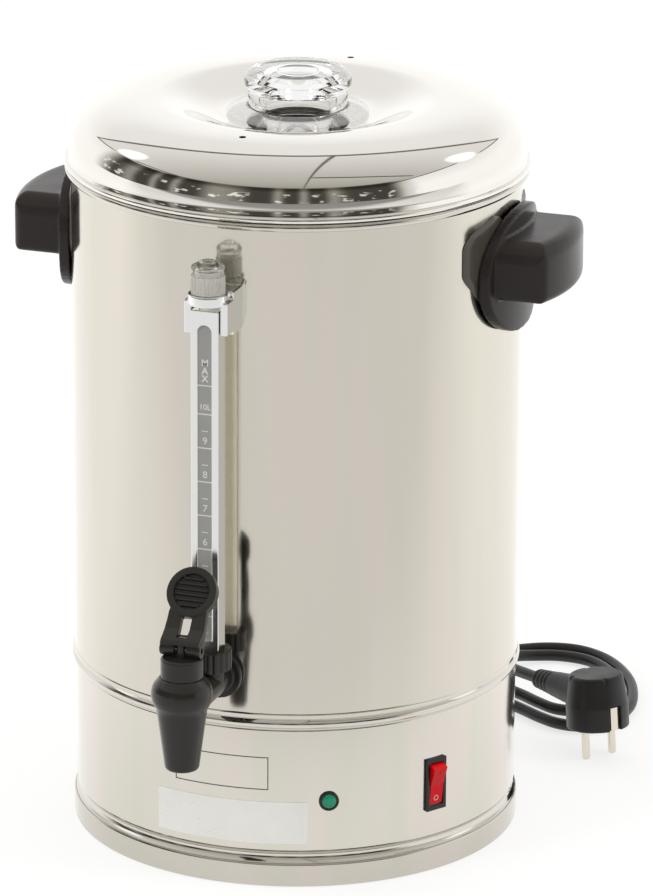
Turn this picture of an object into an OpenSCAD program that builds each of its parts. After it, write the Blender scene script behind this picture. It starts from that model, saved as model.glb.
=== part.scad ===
// A ten litre percolator urn for coffee, with a tap, a sight gauge and a short mains lead.
// Millimetres. The origin is on the tank's axis, at the surface that the urn stands on.
// The tap points along -Y, the handles along +X and -X, and the lead leaves at the back.

/* [Tank] */
// Outer radius of the tank
tank_r = 127; // [126:0.5:128]
// Thickness of the sheet steel
sheet = 1; // [0.8:0.1:1.2]
// Height of the tank's bottom edge
seam_z = 93.4; // [93:0.1:94]
// Height of the top of the tank's rolled rim
rim_z = 386.4; // [384:0.2:390]

/* [Base] */
// Outer radius of the base shroud
base_r = 126.2; // [125.6:0.1:126.6]
// Outer radius of the foot band
foot_r = 127.8; // [127.6:0.1:128.4]
// Height of the foot band
foot_h = 13.4; // [13:0.1:14]

/* [Lid] */
// Outer radius of the lid's lip
lid_lip_r = 131.3; // [130.5:0.1:132]
// Height of the lid's crown
crown_z = 423.5; // [421:0.5:426]
// Radius at which the lid's shoulder meets the crown
crown_r = 80; // [74:1:86]
// Outer radius of the knob's top
knob_r = 30; // [28:0.5:31]

/* [Tap and gauge] */
// Height of the tap's shank
tap_z = 125; // [124:0.5:126]
// Distance from the tank wall to the spout's axis
tap_reach = 61; // [59:0.5:63]
// Distance from the tank wall to the sight tube's axis
gauge_off = 19; // [18.5:0.5:20]
// How far the tap lever leans back at rest, in degrees
lever_lean = 34; // [28:1:36]

/* [Handles] */
// Distance from the axis to the handles' outer face
handle_x = 161.5; // [156:0.5:164]
// Height of the handles' screws
handle_z = 335; // [328:1:337]

/* [Basket] */
// Outer radius of the coffee basket
basket_r = 76; // [70:1:80]
// Height of the basket's floor above the surface
basket_z = 264.5; // [250:0.5:268]

/* [Hidden] */

tank_in = tank_r - sheet;
floor_z = 95;                 // underside of the tank's floor
well_r = 24;                  // heating well in the middle of the floor
well_depth = 12;
gauge_r = tank_r + gauge_off; // distance of the sight tube from the tank's axis
spout_r = tank_r + tap_reach;
shank_r = 9;
pin_z = tap_z + 35;           // the lever's pin
lamp_az = 27.8;               // azimuths are measured from the tap towards +X
lamp_z = 50.5;
switch_az = 57.7;
switch_z = 51.2;
gland_az = 200;
gland_z = 30;
gland_face = base_r + 2.6;    // outer face of the cord gland
relief_len = 27;
cord_d = 7;
lid_flat_z = 414;             // the lid's dished middle
stem_top = 392;
rock_tilt = 12;               // the rocker's tilt each way
rocker_pivot_r = base_r - 1;

// Middle of the pins' tips, the plug's turn, its lean towards the lead, and the pins' length
plug_at = [144.8, 130.3, 0.15];
plug_turn = 143;
plug_lean = 6;
pin_len = 19;
lead_z = 36;                  // height of the lead's sleeve in the plug's own frame
sleeve_end = 59;

// The mains lead lies in two loose turns behind the urn and ends at the plug
cord_route = [
    [-60, 163, 27], [-67, 180, 19], [-71, 197, 10], [-67, 214, 5],
    [-55, 227, 4], [-38, 233, 4], [-19, 232, 4], [-1, 226, 4], [16, 217, 4],
    [33, 208, 4], [49, 199, 4], [65, 190, 4], [81, 180, 4], [96, 170, 4],
    [109, 164, 4], [122, 164, 4], [133, 172, 4], [139, 185, 4], [141, 205, 4],
    [137, 226, 4], [129, 247, 4], [117, 266, 4], [102, 281, 4], [84, 289, 4],
    [65, 287, 4], [48, 277, 4], [35, 262, 4], [29, 244, 4], [33, 227, 4],
    [46, 217, 4], [60, 211, 4], [74, 203, 4], [87, 194, 4], [100, 187, 4],
    [113, 188, 4], [123, 197, 4], [128, 211, 4], [127, 229, 4], [120, 247, 4],
    [109, 263, 4], [94, 274, 4], [76, 276, 4], [60, 268, 5], [49, 254, 8],
    [44, 238, 12], [45, 222, 17], [52, 207, 21.5], [64, 193, 25.5], [79, 180, 28]];

// ---------------------------------------------------------------- shared shapes

// Puts its children at an azimuth, with their own -Y pointing away from the axis
module around(azimuth, z = 0) {
    rotate([0, 0, azimuth]) translate([0, 0, z]) children();
}

// A cylinder that runs outwards from one radius to another
module radial(r, from, to, sides = 48) {
    translate([0, -from, 0]) rotate([90, 0, 0]) cylinder(r = r, h = to - from, $fn = sides);
}

// A tube standing on z
module pipe(r_out, r_in, z, h, sides = 72) {
    translate([0, 0, z]) difference() {
        cylinder(r = r_out, h = h, $fn = sides);
        translate([0, 0, -1]) cylinder(r = r_in, h = h + 2, $fn = sides);
    }
}

// Points of an oval whose corners fill out as the power grows
function oval(half_x, half_y, power, count) = [for (i = [0:count - 1])
    let (a = 360 * i / count, c = cos(a), s = sin(a))
    [half_x * sign(c) * pow(abs(c), 2 / power), half_y * sign(s) * pow(abs(s), 2 / power)]];

// Points of a quarter circle
function arc(x, y, r, from) = [for (i = [0:6]) let (a = from + 15 * i)
    [x + r * cos(a), y + r * sin(a)]];

// One point of a smooth curve through four points
function spline_point(p0, p1, p2, p3, t) =
    0.5 * (2 * p1 + (p2 - p0) * t + (2 * p0 - 5 * p1 + 4 * p2 - p3) * t * t
    + (3 * p1 - p0 - 3 * p2 + p3) * t * t * t);

// A smooth curve through a route, with so many steps between its points
function smooth(route, steps) = let (last = len(route) - 1) concat(
    [for (i = [0:last - 1]) for (j = [0:steps - 1])
        let (p0 = i > 0 ? route[i - 1] : 2 * route[0] - route[1],
             p3 = i + 2 <= last ? route[i + 2] : 2 * route[last] - route[last - 1])
        spline_point(p0, route[i], route[i + 1], p3, j / steps)],
    [route[last]]);

// A tube swept along a path, whose rings stay level across the path
module swept_tube(path, r, sides) {
    last = len(path) - 1;
    rings = [for (i = [0:last])
        let (ahead = path[min(i + 1, last)] - path[max(i - 1, 0)],
             along = ahead / norm(ahead),
             side = cross(along, [0, 0, 1]) / norm(cross(along, [0, 0, 1])),
             up = cross(side, along))
        for (k = [0:sides - 1])
            path[i] + r * (cos(360 * k / sides) * side + sin(360 * k / sides) * up)];
    walls = [for (i = [0:last - 1]) for (k = [0:sides - 1])
        let (next = (k + 1) % sides)
        [i * sides + k, i * sides + next, (i + 1) * sides + next, (i + 1) * sides + k]];
    start = [for (k = [sides - 1:-1:0]) k];
    end = [for (k = [0:sides - 1]) last * sides + k];
    polyhedron(points = rings, faces = concat([start], walls, [end]), convexity = 10);
}

// ---------------------------------------------------------------- tank

bead_r = 2.3;
swage_z = seam_z + 7;

module tank_shell() color("gainsboro") difference() {
    rotate_extrude($fn = 120) {
        translate([tank_in, seam_z]) square([sheet, rim_z - seam_z - bead_r]);
        // rolled rim at the top, and two raised beads above the seam
        translate([tank_r + bead_r / 2, rim_z - bead_r]) circle(r = bead_r, $fn = 32);
        translate([tank_r - 0.1, seam_z + 2.6]) circle(r = 1.5, $fn = 24);
        translate([tank_r - sheet / 2, swage_z - 2]) square([sheet / 2 + 0.6, 4]);
    }
    around(0, tap_z) radial(shank_r + 0.2, tank_in - 3, tank_r + 4);
    around(0, handle_z + 3) radial(2.2, tank_in - 3, tank_r + 4);
    for (side = [-90, 90], across = [-18, 18])
        around(side, handle_z) translate([across, 0, 0]) radial(2.7, tank_in - 8, tank_r + 4);
}

module tank_floor() color("silver") difference() {
    rotate_extrude($fn = 96) polygon([
        [0, floor_z - well_depth], [well_r + 1.2, floor_z - well_depth],
        [well_r + 1.2, floor_z], [tank_in, floor_z], [tank_in, floor_z + 11],
        [tank_in - 0.9, floor_z + 11], [tank_in - 0.9, floor_z + 1.2],
        [well_r, floor_z + 1.2], [well_r, floor_z - well_depth + 1.2],
        [0, floor_z - well_depth + 1.2]]);
}

// Three screws hold the tank down on the shroud's shelf
module floor_screws() color("silver") for (azimuth = [60, 180, 300]) around(azimuth)
    translate([0, -121.5, 0]) {
        translate([0, 0, seam_z - 1.2]) cylinder(r = 2, h = floor_z - seam_z + 1.2, $fn = 32);
        translate([0, 0, seam_z - 3.6]) cylinder(r = 3.6, h = 2.5, $fn = 32);
    }

// ---------------------------------------------------------------- base

groove_top = foot_h + 7.6;

// The shroud has a polished groove above the foot band and a shelf under the tank
module base_shroud() color("gainsboro") {
    wall = 0.9;
    outside = concat([[foot_r - wall, 6], [foot_r - wall, foot_h + 0.1]],
        [for (i = [1:8]) let (t = i / 9)
            [base_r - 2 * sin(180 * t) + 0.3 * (1 - t), foot_h + 0.6 + 7 * t]],
        [[base_r, groove_top], [base_r, seam_z - 0.2]]);
    inside = [for (i = [len(outside) - 2:-1:0]) outside[i] - [wall, 0]];
    shelf = [[117, seam_z - 0.2], [117, seam_z - 0.2 - wall], [base_r - wall, seam_z - 0.2 - wall]];
    difference() {
        rotate_extrude($fn = 120) polygon(concat(outside, shelf, inside));
        around(lamp_az, lamp_z) radial(4.3, base_r - 6, base_r + 3);
        around(switch_az, switch_z) translate([-6.1, -base_r - 3, -13.6]) cube([12.2, 10, 27.2]);
        around(gland_az, gland_z) radial(6.1, base_r - 6, base_r + 3);
        for (azimuth = [60, 180, 300]) around(azimuth) translate([0, -121.5, seam_z - 3])
            cylinder(r = 2.1, h = 5, $fn = 32);
    }
}

module foot_band() color("silver") difference() {
    rotate_extrude($fn = 120) polygon([
        [foot_r - 0.9, 0], [foot_r, 0], [foot_r, foot_h - 0.8], [foot_r - 0.4, foot_h],
        [foot_r - 0.9, foot_h], [foot_r - 0.9, 4.6], [113, 4.6], [113, 3.7], [foot_r - 0.9, 3.7]]);
    for (azimuth = [45:90:315]) around(azimuth) translate([0, -116, 3])
        cylinder(r = 2.1, h = 3, $fn = 32);
}

module foot_ring() color("black") rotate_extrude($fn = 96)
    translate([119, 0]) square([foot_r - 0.9 - 119, 3.7]);

module bottom_plate() color("silver") difference() {
    translate([0, 0, 4.6]) cylinder(r = 122, h = 1, $fn = 96);
    // cooling slots under the electrics
    for (i = [-3:3]) translate([i * 12 - 2.5, -30, 4]) cube([5, 60, 3]);
    for (azimuth = [45:90:315]) around(azimuth) translate([0, -116, 4])
        cylinder(r = 2.1, h = 3, $fn = 32);
}

module bottom_screws() color("silver") for (azimuth = [45:90:315]) around(azimuth)
    translate([0, -116, 0]) {
        translate([0, 0, 1.4]) cylinder(r = 2.9, h = 2.3, $fn = 32);
        translate([0, 0, 3.7]) cylinder(r = 2, h = 5, $fn = 32);
        translate([0, 0, 5.6]) cylinder(r = 3.6, h = 2.6, $fn = 6);
    }

// ---------------------------------------------------------------- heating

heat_z = floor_z - 6;

module heater_block() color("gray") pipe(62, well_r + 1.4, heat_z, 6, 96);

// A tubular element under the block, open at its terminals
module heater_element() color("dimgray") {
    translate([0, 0, heat_z - 4]) rotate([0, 0, 15]) rotate_extrude(angle = 330, $fn = 96)
        translate([45, 0]) circle(r = 4, $fn = 24);
    for (turn = [15, 345]) rotate([0, 0, turn]) translate([45, 0, heat_z - 22])
        cylinder(r = 2.2, h = 18, $fn = 24);
}

module warm_element() color("dimgray") {
    pipe(96, 72, floor_z - 3, 3, 96);
    for (turn = [100, 112]) rotate([0, 0, turn]) translate([84, 0, floor_z - 15])
        cylinder(r = 2, h = 12, $fn = 24);
}

module disc_thermostat(z) {
    translate([0, 0, z - 9]) cylinder(r = 8.5, h = 9, $fn = 48);
    translate([0, 0, z - 1.6]) cylinder(r = 10.5, h = 1.6, $fn = 48);
    for (across = [-5, 5]) translate([across - 0.4, -3, z - 17]) cube([0.8, 6, 8.2]);
}

module brew_thermostat() color("ivory") disc_thermostat(floor_z - well_depth);

module warm_thermostat() color("ivory") around(250) translate([0, -108, 0])
    disc_thermostat(floor_z);

module thermal_cutout() color("silver") around(160) translate([0, -108, 0]) {
    translate([-12, -2, floor_z - 1]) cube([24, 6, 1]);
    translate([-9, 1, floor_z - 4.2]) rotate([0, 90, 0]) cylinder(r = 3.2, h = 18, $fn = 32);
}

module terminal_block() color("ivory") translate([-24, 56, 5.6]) difference() {
    cube([48, 22, 18]);
    for (i = [0:3]) translate([6 + i * 12, 11, 8]) cylinder(r = 3, h = 14, $fn = 32);
}

// Wires from the terminal block to the heater, the switch and the lamp
module inner_wires() color("brown") {
    wires = [
        [[-18, 55, 14], [-22, 40, 24], [30, 18, 40], [43.5, 11.7, 66.5]],
        [[-6, 55, 14], [10, 44, 22], [44, 4, 40], [43.5, -11.7, 66.5]],
        [[6, 55, 14], [30, 30, 24], [66, -20, 40], [84, -50, 46]],
        [[18, 55, 14], [52, 30, 22], [78, -26, 34], [86, -55, 38]]];
    for (wire = wires) swept_tube(smooth(wire, 4), 1.3, 8);
}

// ---------------------------------------------------------------- lamp and switch

module lamp_bezel() color("black") around(lamp_az, lamp_z) difference() {
    radial(5.7, base_r + 0.05, base_r + 1.6);
    radial(4.25, base_r - 2, base_r + 3);
}

module lamp_body() color("black") around(lamp_az, lamp_z) {
    radial(4.2, base_r - 24, base_r + 0.9);
    radial(6.4, base_r - 4.2, base_r - 1.6, 6);
    for (across = [-2, 2]) translate([across - 0.3, -base_r + 24, -1.5]) cube([0.6, 7, 3]);
}

module lamp_lens() color("green") around(lamp_az, lamp_z) translate([0, -base_r - 0.9, 0])
    rotate([90, 0, 0]) rotate_extrude($fn = 48) polygon(concat([[0, 0], [4.2, 0], [4.2, 1]],
        [for (i = [1:6]) [4.2 * cos(15 * i), 1 + 1.4 * sin(15 * i)]]));

housing_front = base_r + 1.7;

module switch_housing() color("black") around(switch_az, switch_z) difference() {
    union() {
        translate([-7, -housing_front, -15.5]) cube([14, 1.6, 31]);
        translate([-6, -base_r - 0.2, -13.5]) cube([12, 22, 27]);
    }
    translate([-4.9, -housing_front - 1, -12.7]) cube([9.8, 12, 25.4]);
}

module switch_tabs() color("goldenrod") around(switch_az, switch_z) for (up = [-8, 0, 8])
    translate([-0.4, -base_r + 21.8, up - 2.4]) cube([0.8, 9, 4.8]);

// Seen from the side, the rocker's face is a shallow valley and its ends are arcs
module rocker() color("red") around(switch_az, switch_z) translate([0, -rocker_pivot_r, 0])
    rotate([rock_tilt, 0, 0]) difference() {
        intersection() {
            translate([-4.5, 0, 0]) rotate([90, 0, 90]) linear_extrude(9)
                polygon([[2, -13], [2, 13], [-4.4, 13], [-3, 0], [-4.4, -13]]);
            translate([-5, 0, 0]) rotate([0, 90, 0]) cylinder(r = 12.2, h = 10, $fn = 72);
        }
        // the ring and the bar of its two marks, sunk into the face
        translate([0, -2.7, -8]) rotate([83.3, 0, 0]) difference() {
            translate([0, 0, 0.6]) cylinder(r = 1.7, h = 2, $fn = 32);
            translate([0, 0, 0]) cylinder(r = 1.2, h = 3, $fn = 32);
        }
        translate([-0.25, -5.2, 5.6]) cube([0.5, 1.4, 4]);
    }

// ---------------------------------------------------------------- handles

plate_out = tank_r + 7.3; // radii of the handle plate's two curved faces
plate_in = tank_r + 1.3;
screw_end = plate_out + 6;

// Lays an outline seen from the side on the tank's curve, from inside the wall outwards
module on_side(z) translate([tank_r - 20, 0, z]) rotate([90, 0, 90]) linear_extrude(30)
    children();

// The seat fits the tank's curve, and reaches out beyond the plate at its upper corners
module handle_seat() difference() {
    intersection() {
        on_side(handle_z) polygon([[-55, 9], [-30, -22], [30, -22], [55, 9], [55, 27], [49, 33],
            [30, 39], [-30, 39], [-49, 33], [-55, 27]]);
        cylinder(r = plate_in - 0.05, h = rim_z, $fn = 120);
    }
    cylinder(r = tank_r + 0.03, h = rim_z, $fn = 120);
    for (across = [-18, 18]) translate([tank_r - 20, across, handle_z]) rotate([0, 90, 0])
        cylinder(r = 2.6, h = 40, $fn = 32);
}

module handle_seat_left() color([0.14, 0.12, 0.12]) mirror([1, 0, 0]) handle_seat();
module handle_seat_right() color([0.14, 0.12, 0.12]) handle_seat();

// A wide lug whose outer face bows out: a rounded disc, crossed with the outlines from the
// side and from above
module lug(low, high) {
    half = 38;
    start = tank_r - 10;
    bow_r = 104;
    bow_x = handle_x + 1.6 - bow_r;
    corner_r = 7;
    corner_y = half - corner_r;
    corner_x = bow_x + sqrt(pow(bow_r - corner_r, 2) - pow(corner_y, 2));
    tangent = atan2(corner_y, corner_x - bow_x);
    turn = (90 - tangent) / 6;
    intersection() {
        translate([bow_x, 0, 0]) rotate_extrude($fn = 180) polygon(concat([[0, low]],
            arc(bow_r - 4, low + 4, 4, 270), arc(bow_r - 8, high - 8, 8, 0), [[0, high]]));
        translate([start - 1, 0, 0]) rotate([90, 0, 90]) linear_extrude(60) polygon(concat(
            arc(half - 12, high - 11.6, 12, 0), arc(12 - half, high - 11.6, 12, 90),
            arc(5 - half, low + 4.6, 5, 180), arc(half - 5, low + 4.6, 5, 270)));
        translate([0, 0, low - 5]) linear_extrude(high - low + 10) polygon(concat(
            [[start, -half]],
            [for (i = [0:6]) [corner_x + corner_r * cos(i * turn - 90),
                corner_r * sin(i * turn - 90) - corner_y]],
            [[handle_x + 9, 0]],
            [for (i = [6:-1:0]) [corner_x + corner_r * cos(90 - i * turn),
                corner_r * sin(90 - i * turn) + corner_y]],
            [[start, half]]));
    }
}

// An oval plate, curved like the tank, with its lug
module handle() {
    intersection() {
        on_side(handle_z + 3) polygon(oval(44, 35, 2.2, 48));
        cylinder(r = plate_out, h = rim_z, $fn = 120);
    }
    lug(handle_z - 7, handle_z + 26.5);
}

// The plate's back follows the seat, and is drilled for two screws
module trimmed_handle() difference() {
    handle();
    cylinder(r = plate_in, h = rim_z, $fn = 120);
    for (across = [-18, 18]) translate([tank_r - 10, across, handle_z])
        rotate([0, 90, 0]) cylinder(r = 2.5, h = screw_end - tank_r + 10, $fn = 32);
}

module handle_left() color([0.16, 0.13, 0.13]) mirror([1, 0, 0]) trimmed_handle();
module handle_right() color([0.16, 0.13, 0.13]) trimmed_handle();

// Two screws a side, put in from inside the tank
module handle_screws() color("silver") for (side = [-90, 90], across = [-18, 18])
    around(side, handle_z) translate([across, 0, 0]) {
        radial(2.5, tank_in - 2.5, screw_end);
        radial(5, tank_in - 5.2, tank_in - 2.4, 32);
    }

// ---------------------------------------------------------------- tap

cup_z = tap_z - 6.7;  // underside of the seat cup
seat_z = tap_z - 7;
body_top = tap_z + 19;

module on_spout() translate([0, -spout_r, 0]) children();

module tap_body() color([0.12, 0.12, 0.12]) difference() {
    union() {
        on_spout() rotate_extrude($fn = 72) polygon([
            [0, tap_z - 34.5], [8.6, tap_z - 34.5], [9.5, tap_z - 33.5], [13.8, tap_z - 0.8],
            [14.5, tap_z + 1.4], [15.9, tap_z + 4], [16.8, tap_z + 6.8], [17, tap_z + 9.6],
            [16.6, tap_z + 12.4], [15.6, tap_z + 14.8], [14, tap_z + 16.8],
            [12.2, body_top], [0, body_top]]);
        translate([0, 0, tap_z]) radial(shank_r, tank_in - 9, spout_r - 6);
        translate([0, 0, tap_z]) radial(13.5, tank_r + 1.8, tank_r + 4.6);
        // boss that carries the sight gauge
        translate([0, -gauge_r, tap_z]) cylinder(r = shank_r, h = 13, $fn = 48);
    }
    // outlet, valve chamber, bonnet thread, waterway and gauge passage
    on_spout() translate([0, 0, tap_z - 36]) cylinder(r = 7, h = 38, $fn = 48);
    on_spout() translate([0, 0, seat_z]) cylinder(r = 9, h = 40, $fn = 48);
    translate([0, 0, tap_z]) radial(6, tank_in - 12, spout_r - 4);
    translate([0, -gauge_r, tap_z]) cylinder(r = 3.2, h = 14, $fn = 32);
    translate([0, -gauge_r, tap_z + 11]) cylinder(r = 4.6, h = 4, $fn = 32);
}

module tap_nut() color("silver") translate([0, 0, tap_z]) difference() {
    radial(14, tank_in - 7.4, tank_in - 2.2, 6);
    radial(shank_r, tank_in - 9, tank_in);
}

// One washer on each side of the tank wall
module tap_seals() color([0.1, 0.1, 0.1]) translate([0, 0, tap_z]) difference() {
    union() {
        radial(13, tank_r + 0.1, tank_r + 1.8);
        radial(13, tank_in - 2.2, tank_in - 0.8);
    }
    radial(shank_r, tank_in - 9, tank_r + 5);
}

module tap_bonnet() color([0.12, 0.12, 0.12]) on_spout() rotate_extrude($fn = 72) polygon([
    [3.1, body_top - 1.2], [3.1, body_top + 11.5], [10.6, body_top + 11.5],
    [11.7, body_top + 10.4], [11.7, body_top], [8.98, body_top],
    [8.98, body_top - 5], [7.6, body_top - 5], [7.6, body_top - 1.2]]);

module valve_stem() color("silver") on_spout() difference() {
    union() {
        translate([0, 0, cup_z + 2.5]) cylinder(r = 3, h = pin_z + 3.2 - cup_z - 2.5, $fn = 48);
        translate([0, 0, cup_z + 2.5]) cylinder(r = 5, h = 1.5, $fn = 48);
    }
    translate([-6, 0, pin_z]) rotate([0, 90, 0]) cylinder(r = 1.6, h = 12, $fn = 32);
}

module lever_pin() color("silver") on_spout() translate([-10.5, 0, pin_z]) rotate([0, 90, 0])
    cylinder(r = 1.6, h = 21, $fn = 48);

// A soft cup that closes the outlet and grips the stem's foot
module seat_cup() color("white") on_spout() difference() {
    union() {
        translate([0, 0, cup_z]) cylinder(r1 = 7.6, r2 = 8.4, h = 2.5, $fn = 48);
        translate([0, 0, cup_z + 2.5]) cylinder(r = 8.4, h = 3, $fn = 48);
    }
    translate([0, 0, cup_z + 2.5]) cylinder(r = 3, h = 5, $fn = 48);
    translate([0, 0, cup_z + 2.5]) cylinder(r = 5, h = 1.5, $fn = 48);
}

spring_low = cup_z + 6;
spring_top = body_top - 1.7;

module valve_spring() color("silver") on_spout() {
    turns = 4;
    coil = [for (i = [0:turns * 14]) let (a = 360 * i / 14)
        [5.2 * cos(a), 5.2 * sin(a),
         spring_low + 0.6 + (spring_top - spring_low - 1.2) * i / (turns * 14)]];
    swept_tube(coil, 0.5, 8);
}

// A wide neck with a web in front of the stem, a small window and a round thumb pad
module tap_lever() color([0.14, 0.14, 0.14]) on_spout() translate([0, 0, pin_z])
    rotate([-lever_lean, 0, 0]) {
        pad_z = 31.6;
        back = 2.4;
        difference() {
            union() {
                translate([-11.7, 0, 0]) rotate([0, 90, 0]) cylinder(r = 4.2, h = 23.4, $fn = 48);
                translate([0, back, 0]) rotate([90, 0, 0]) linear_extrude(2 * back)
                    polygon([[-11.7, 0], [11.7, 0], [11.4, 9], [10.6, 24], [-10.6, 24],
                        [-11.4, 9]]);
                translate([-11.2, 0, 0]) rotate([90, 0, 90]) linear_extrude(22.4)
                    polygon([[-1, 0.2], [-5.6, 0.2], [-6, 0.8], [-5.8, 3], [-2.2, 11]]);
                translate([0, back, pad_z]) rotate([90, 0, 0]) cylinder(r = 14.2, h = 5.8,
                    $fn = 72);
            }
            // window, slot for the stem, pin hole, and the pad's dished face
            translate([-3, -8, 7]) cube([6, 12, 10.4]);
            translate([-3.4, -4.6, -6]) cube([6.8, 10.6, 12]);
            translate([-12, 0, 0]) rotate([0, 90, 0]) cylinder(r = 1.65, h = 24, $fn = 48);
            translate([0, -1.2, pad_z]) rotate([90, 0, 0]) cylinder(r = 10.2, h = 4, $fn = 72);
        }
        // grip ribs across the pad
        for (i = [-2.5:1:2.5]) let (half = sqrt(9.4 * 9.4 - 9 * i * i))
            translate([-half, -2.6, pad_z + 3 * i - 0.7]) cube([2 * half, 1.7, 1.4]);
    }

// ---------------------------------------------------------------- sight gauge

nut_z = tap_z + 9.8;
nut_h = 11.4;
tube_r = 4.5;
shield_face = gauge_r + 6;
shield_low = nut_z + nut_h + 0.2;
shield_top = handle_z + 6.7;
collar_top = handle_z + 15.5;

module on_gauge() translate([0, -gauge_r, 0]) children();

module gauge_nut() color([0.12, 0.12, 0.12]) on_gauge() difference() {
    translate([0, 0, nut_z]) cylinder(r = 13, h = nut_h, $fn = 72);
    translate([0, 0, nut_z - 1]) cylinder(r = shank_r + 0.05, h = nut_h - 1.4, $fn = 48);
    translate([0, 0, nut_z]) cylinder(r = tube_r + 0.1, h = nut_h + 1, $fn = 48);
    for (i = [0:17]) rotate([0, 0, 20 * i]) translate([13.4, 0, nut_z - 1])
        cylinder(r = 1.1, h = nut_h + 2, $fn = 16);
}

module gauge_seal() color("white") on_gauge()
    pipe(8.6, tube_r + 0.02, tap_z + 13, nut_z + nut_h - 2.4 - tap_z - 13.1, 48);

module sight_tube() color([0.85, 0.9, 0.9, 0.5]) on_gauge()
    pipe(tube_r, 3.3, tap_z + 11.2, collar_top + 7.5 - tap_z - 11.2, 48);

module gauge_scale() color("darkgray")
    translate([-6.2, -shield_face + 1.05, shield_low + 4])
        cube([12.4, 0.4, shield_top - shield_low - 8]);

// A channel of bright steel with a long window that ends in an arch
module gauge_shield() color("white") difference() {
    translate([-8, -shield_face, shield_low]) cube([16, 11, shield_top - shield_low]);
    translate([-7, -shield_face + 1, shield_low - 1]) cube([14, 12, shield_top - shield_low + 2]);
    translate([-4.2, -shield_face - 1, shield_low + 6])
        cube([8.4, 3, shield_top - shield_low - 18.3]);
    translate([0, -shield_face + 2, shield_top - 12.3]) rotate([90, 0, 0])
        cylinder(r = 4.2, h = 4, $fn = 48);
}

// A saddle on the tank, two cheeks beside the shield and a collar round the tube
module gauge_bracket() color("white") difference() {
    union() {
        translate([-12.5, -gauge_r + 5.8, handle_z - 9])
            cube([25, gauge_r - 5.8 - tank_r + 3, collar_top - handle_z + 9]);
        for (side = [-1, 1]) translate([side * 10.35 - 2.15, -shield_face + 2, handle_z - 7])
            cube([4.3, 10, collar_top - handle_z + 3]);
        on_gauge() translate([0, 0, shield_top + 3]) cylinder(r = 11, h = collar_top - shield_top - 3,
            $fn = 64);
    }
    cylinder(r = tank_r + 0.03, h = rim_z, $fn = 120);
    on_gauge() translate([0, 0, shield_top - 20]) cylinder(r = tube_r + 0.05, h = 50, $fn = 48);
    translate([0, 0, handle_z + 3]) radial(2, tank_r - 4, tank_r + 10, 32);
}

module bracket_screw() color("silver") translate([0, 0, handle_z + 3]) {
    radial(2, tank_in - 1, tank_r + 9.5, 32);
    radial(4, tank_in - 3.2, tank_in - 0.3, 32);
}

// A clear dome, ribbed below and cone-shaped on top, that pushes over the tube
module gauge_cap() color([0.9, 0.92, 0.9, 0.6]) on_gauge() translate([0, 0, collar_top + 0.3])
    difference() {
        rotate_extrude($fn = 64) polygon([
            [0, 0], [9.2, 0], [9.6, 0.8], [9.6, 9.6], [8.8, 10.4], [8.8, 13], [9.4, 14],
            [9, 15], [5, 17.6], [2, 18.9], [0, 19.2]]);
        translate([0, 0, -1]) cylinder(r = 5.2, h = 14, $fn = 48);
    }

// ---------------------------------------------------------------- lead and plug

module at_gland() around(gland_az, gland_z) children();

module cord_gland() color("black") at_gland() {
    radial(9, base_r + 0.2, gland_face);
    radial(6, base_r - 9, base_r + 0.2);
}

module gland_nut() color("black") at_gland() difference() {
    radial(9.5, base_r - 6.4, base_r - 2.2, 6);
    radial(6, base_r - 9, base_r);
}

// A tapered sleeve where the lead leaves the gland
module cord_relief() color("black") at_gland() translate([0, -gland_face, 0])
    rotate([90, 0, 0]) cylinder(r1 = 6.2, r2 = 4.2, h = relief_len, $fn = 48);

module power_cord() color("black") {
    exit = gland_face + relief_len;
    start = [exit * sin(gland_az), -exit * cos(gland_az), gland_z];
    along = sleeve_end * cos(plug_lean) + lead_z * sin(plug_lean);
    end = plug_at + [along * cos(plug_turn), along * sin(plug_turn),
        lead_z * cos(plug_lean) - sleeve_end * sin(plug_lean)];
    route = concat([start], cord_route, [end]);
    swept_tube(smooth(route, 1), cord_d / 2, 10);
}

// In the plug's own frame the pins point down and the lead leaves along +X
module on_plug() translate(plug_at) rotate([0, plug_lean, plug_turn]) children();

module plug_body() color([0.1, 0.1, 0.1]) on_plug() difference() {
    union() {
        // a round head with a flat grip: two straight-sided outlines crossed
        translate([0, 0, pin_len]) intersection() {
            rotate_extrude($fn = 72) polygon([[0, 0], [18.2, 0], [18.6, 0.6], [18.6, 14],
                [16, 31], [14.6, 32], [0, 32]]);
            for (across = [30, 120]) rotate([90, 0, across]) translate([0, 0, -25])
                linear_extrude(50) polygon([[-17, 0], [17, 0], [17, 13], [10.4, 30.6],
                    [9, 32], [-9, 32], [-10.4, 30.6], [-17, 13]]);
        }
        translate([6, 0, lead_z]) rotate([0, 90, 0]) cylinder(r1 = 10.8, r2 = 7.4, h = 36, $fn = 48);
        translate([42, 0, lead_z]) rotate([0, 90, 0]) cylinder(r1 = 6.4, r2 = 5,
            h = sleeve_end - 42, $fn = 48);
        for (i = [0:3]) translate([43.5 + 4 * i, 0, lead_z]) rotate([0, 90, 0])
            cylinder(r = 7 - 0.35 * i, h = 2.4, $fn = 48);
    }
    // notches for the earth contacts, and sockets that hold the pins
    for (side = [-1, 1]) translate([side * 17.5 - 1.6, -4, pin_len - 1]) cube([3.2, 8, 16]);
    for (side = [-1, 1]) translate([0, side * 9.5, pin_len - 1])
        cylinder(r = 1.9, h = 8, $fn = 32);
}

module plug_pins() color("silver") on_plug() for (side = [-1, 1])
    translate([0, side * 9.5, 0]) rotate_extrude($fn = 48) polygon([
        [0, 0], [1.2, 0], [2, 0.5], [2.4, 1.4], [2.4, pin_len],
        [1.9, pin_len], [1.9, pin_len + 7], [0, pin_len + 7]]);

module plug_contacts() color("silver") on_plug() for (side = [-1, 1])
    translate([side * 16.4 - 0.4, -2.4, pin_len + 0.4]) cube([0.8, 4.8, 13.6]);

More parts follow.
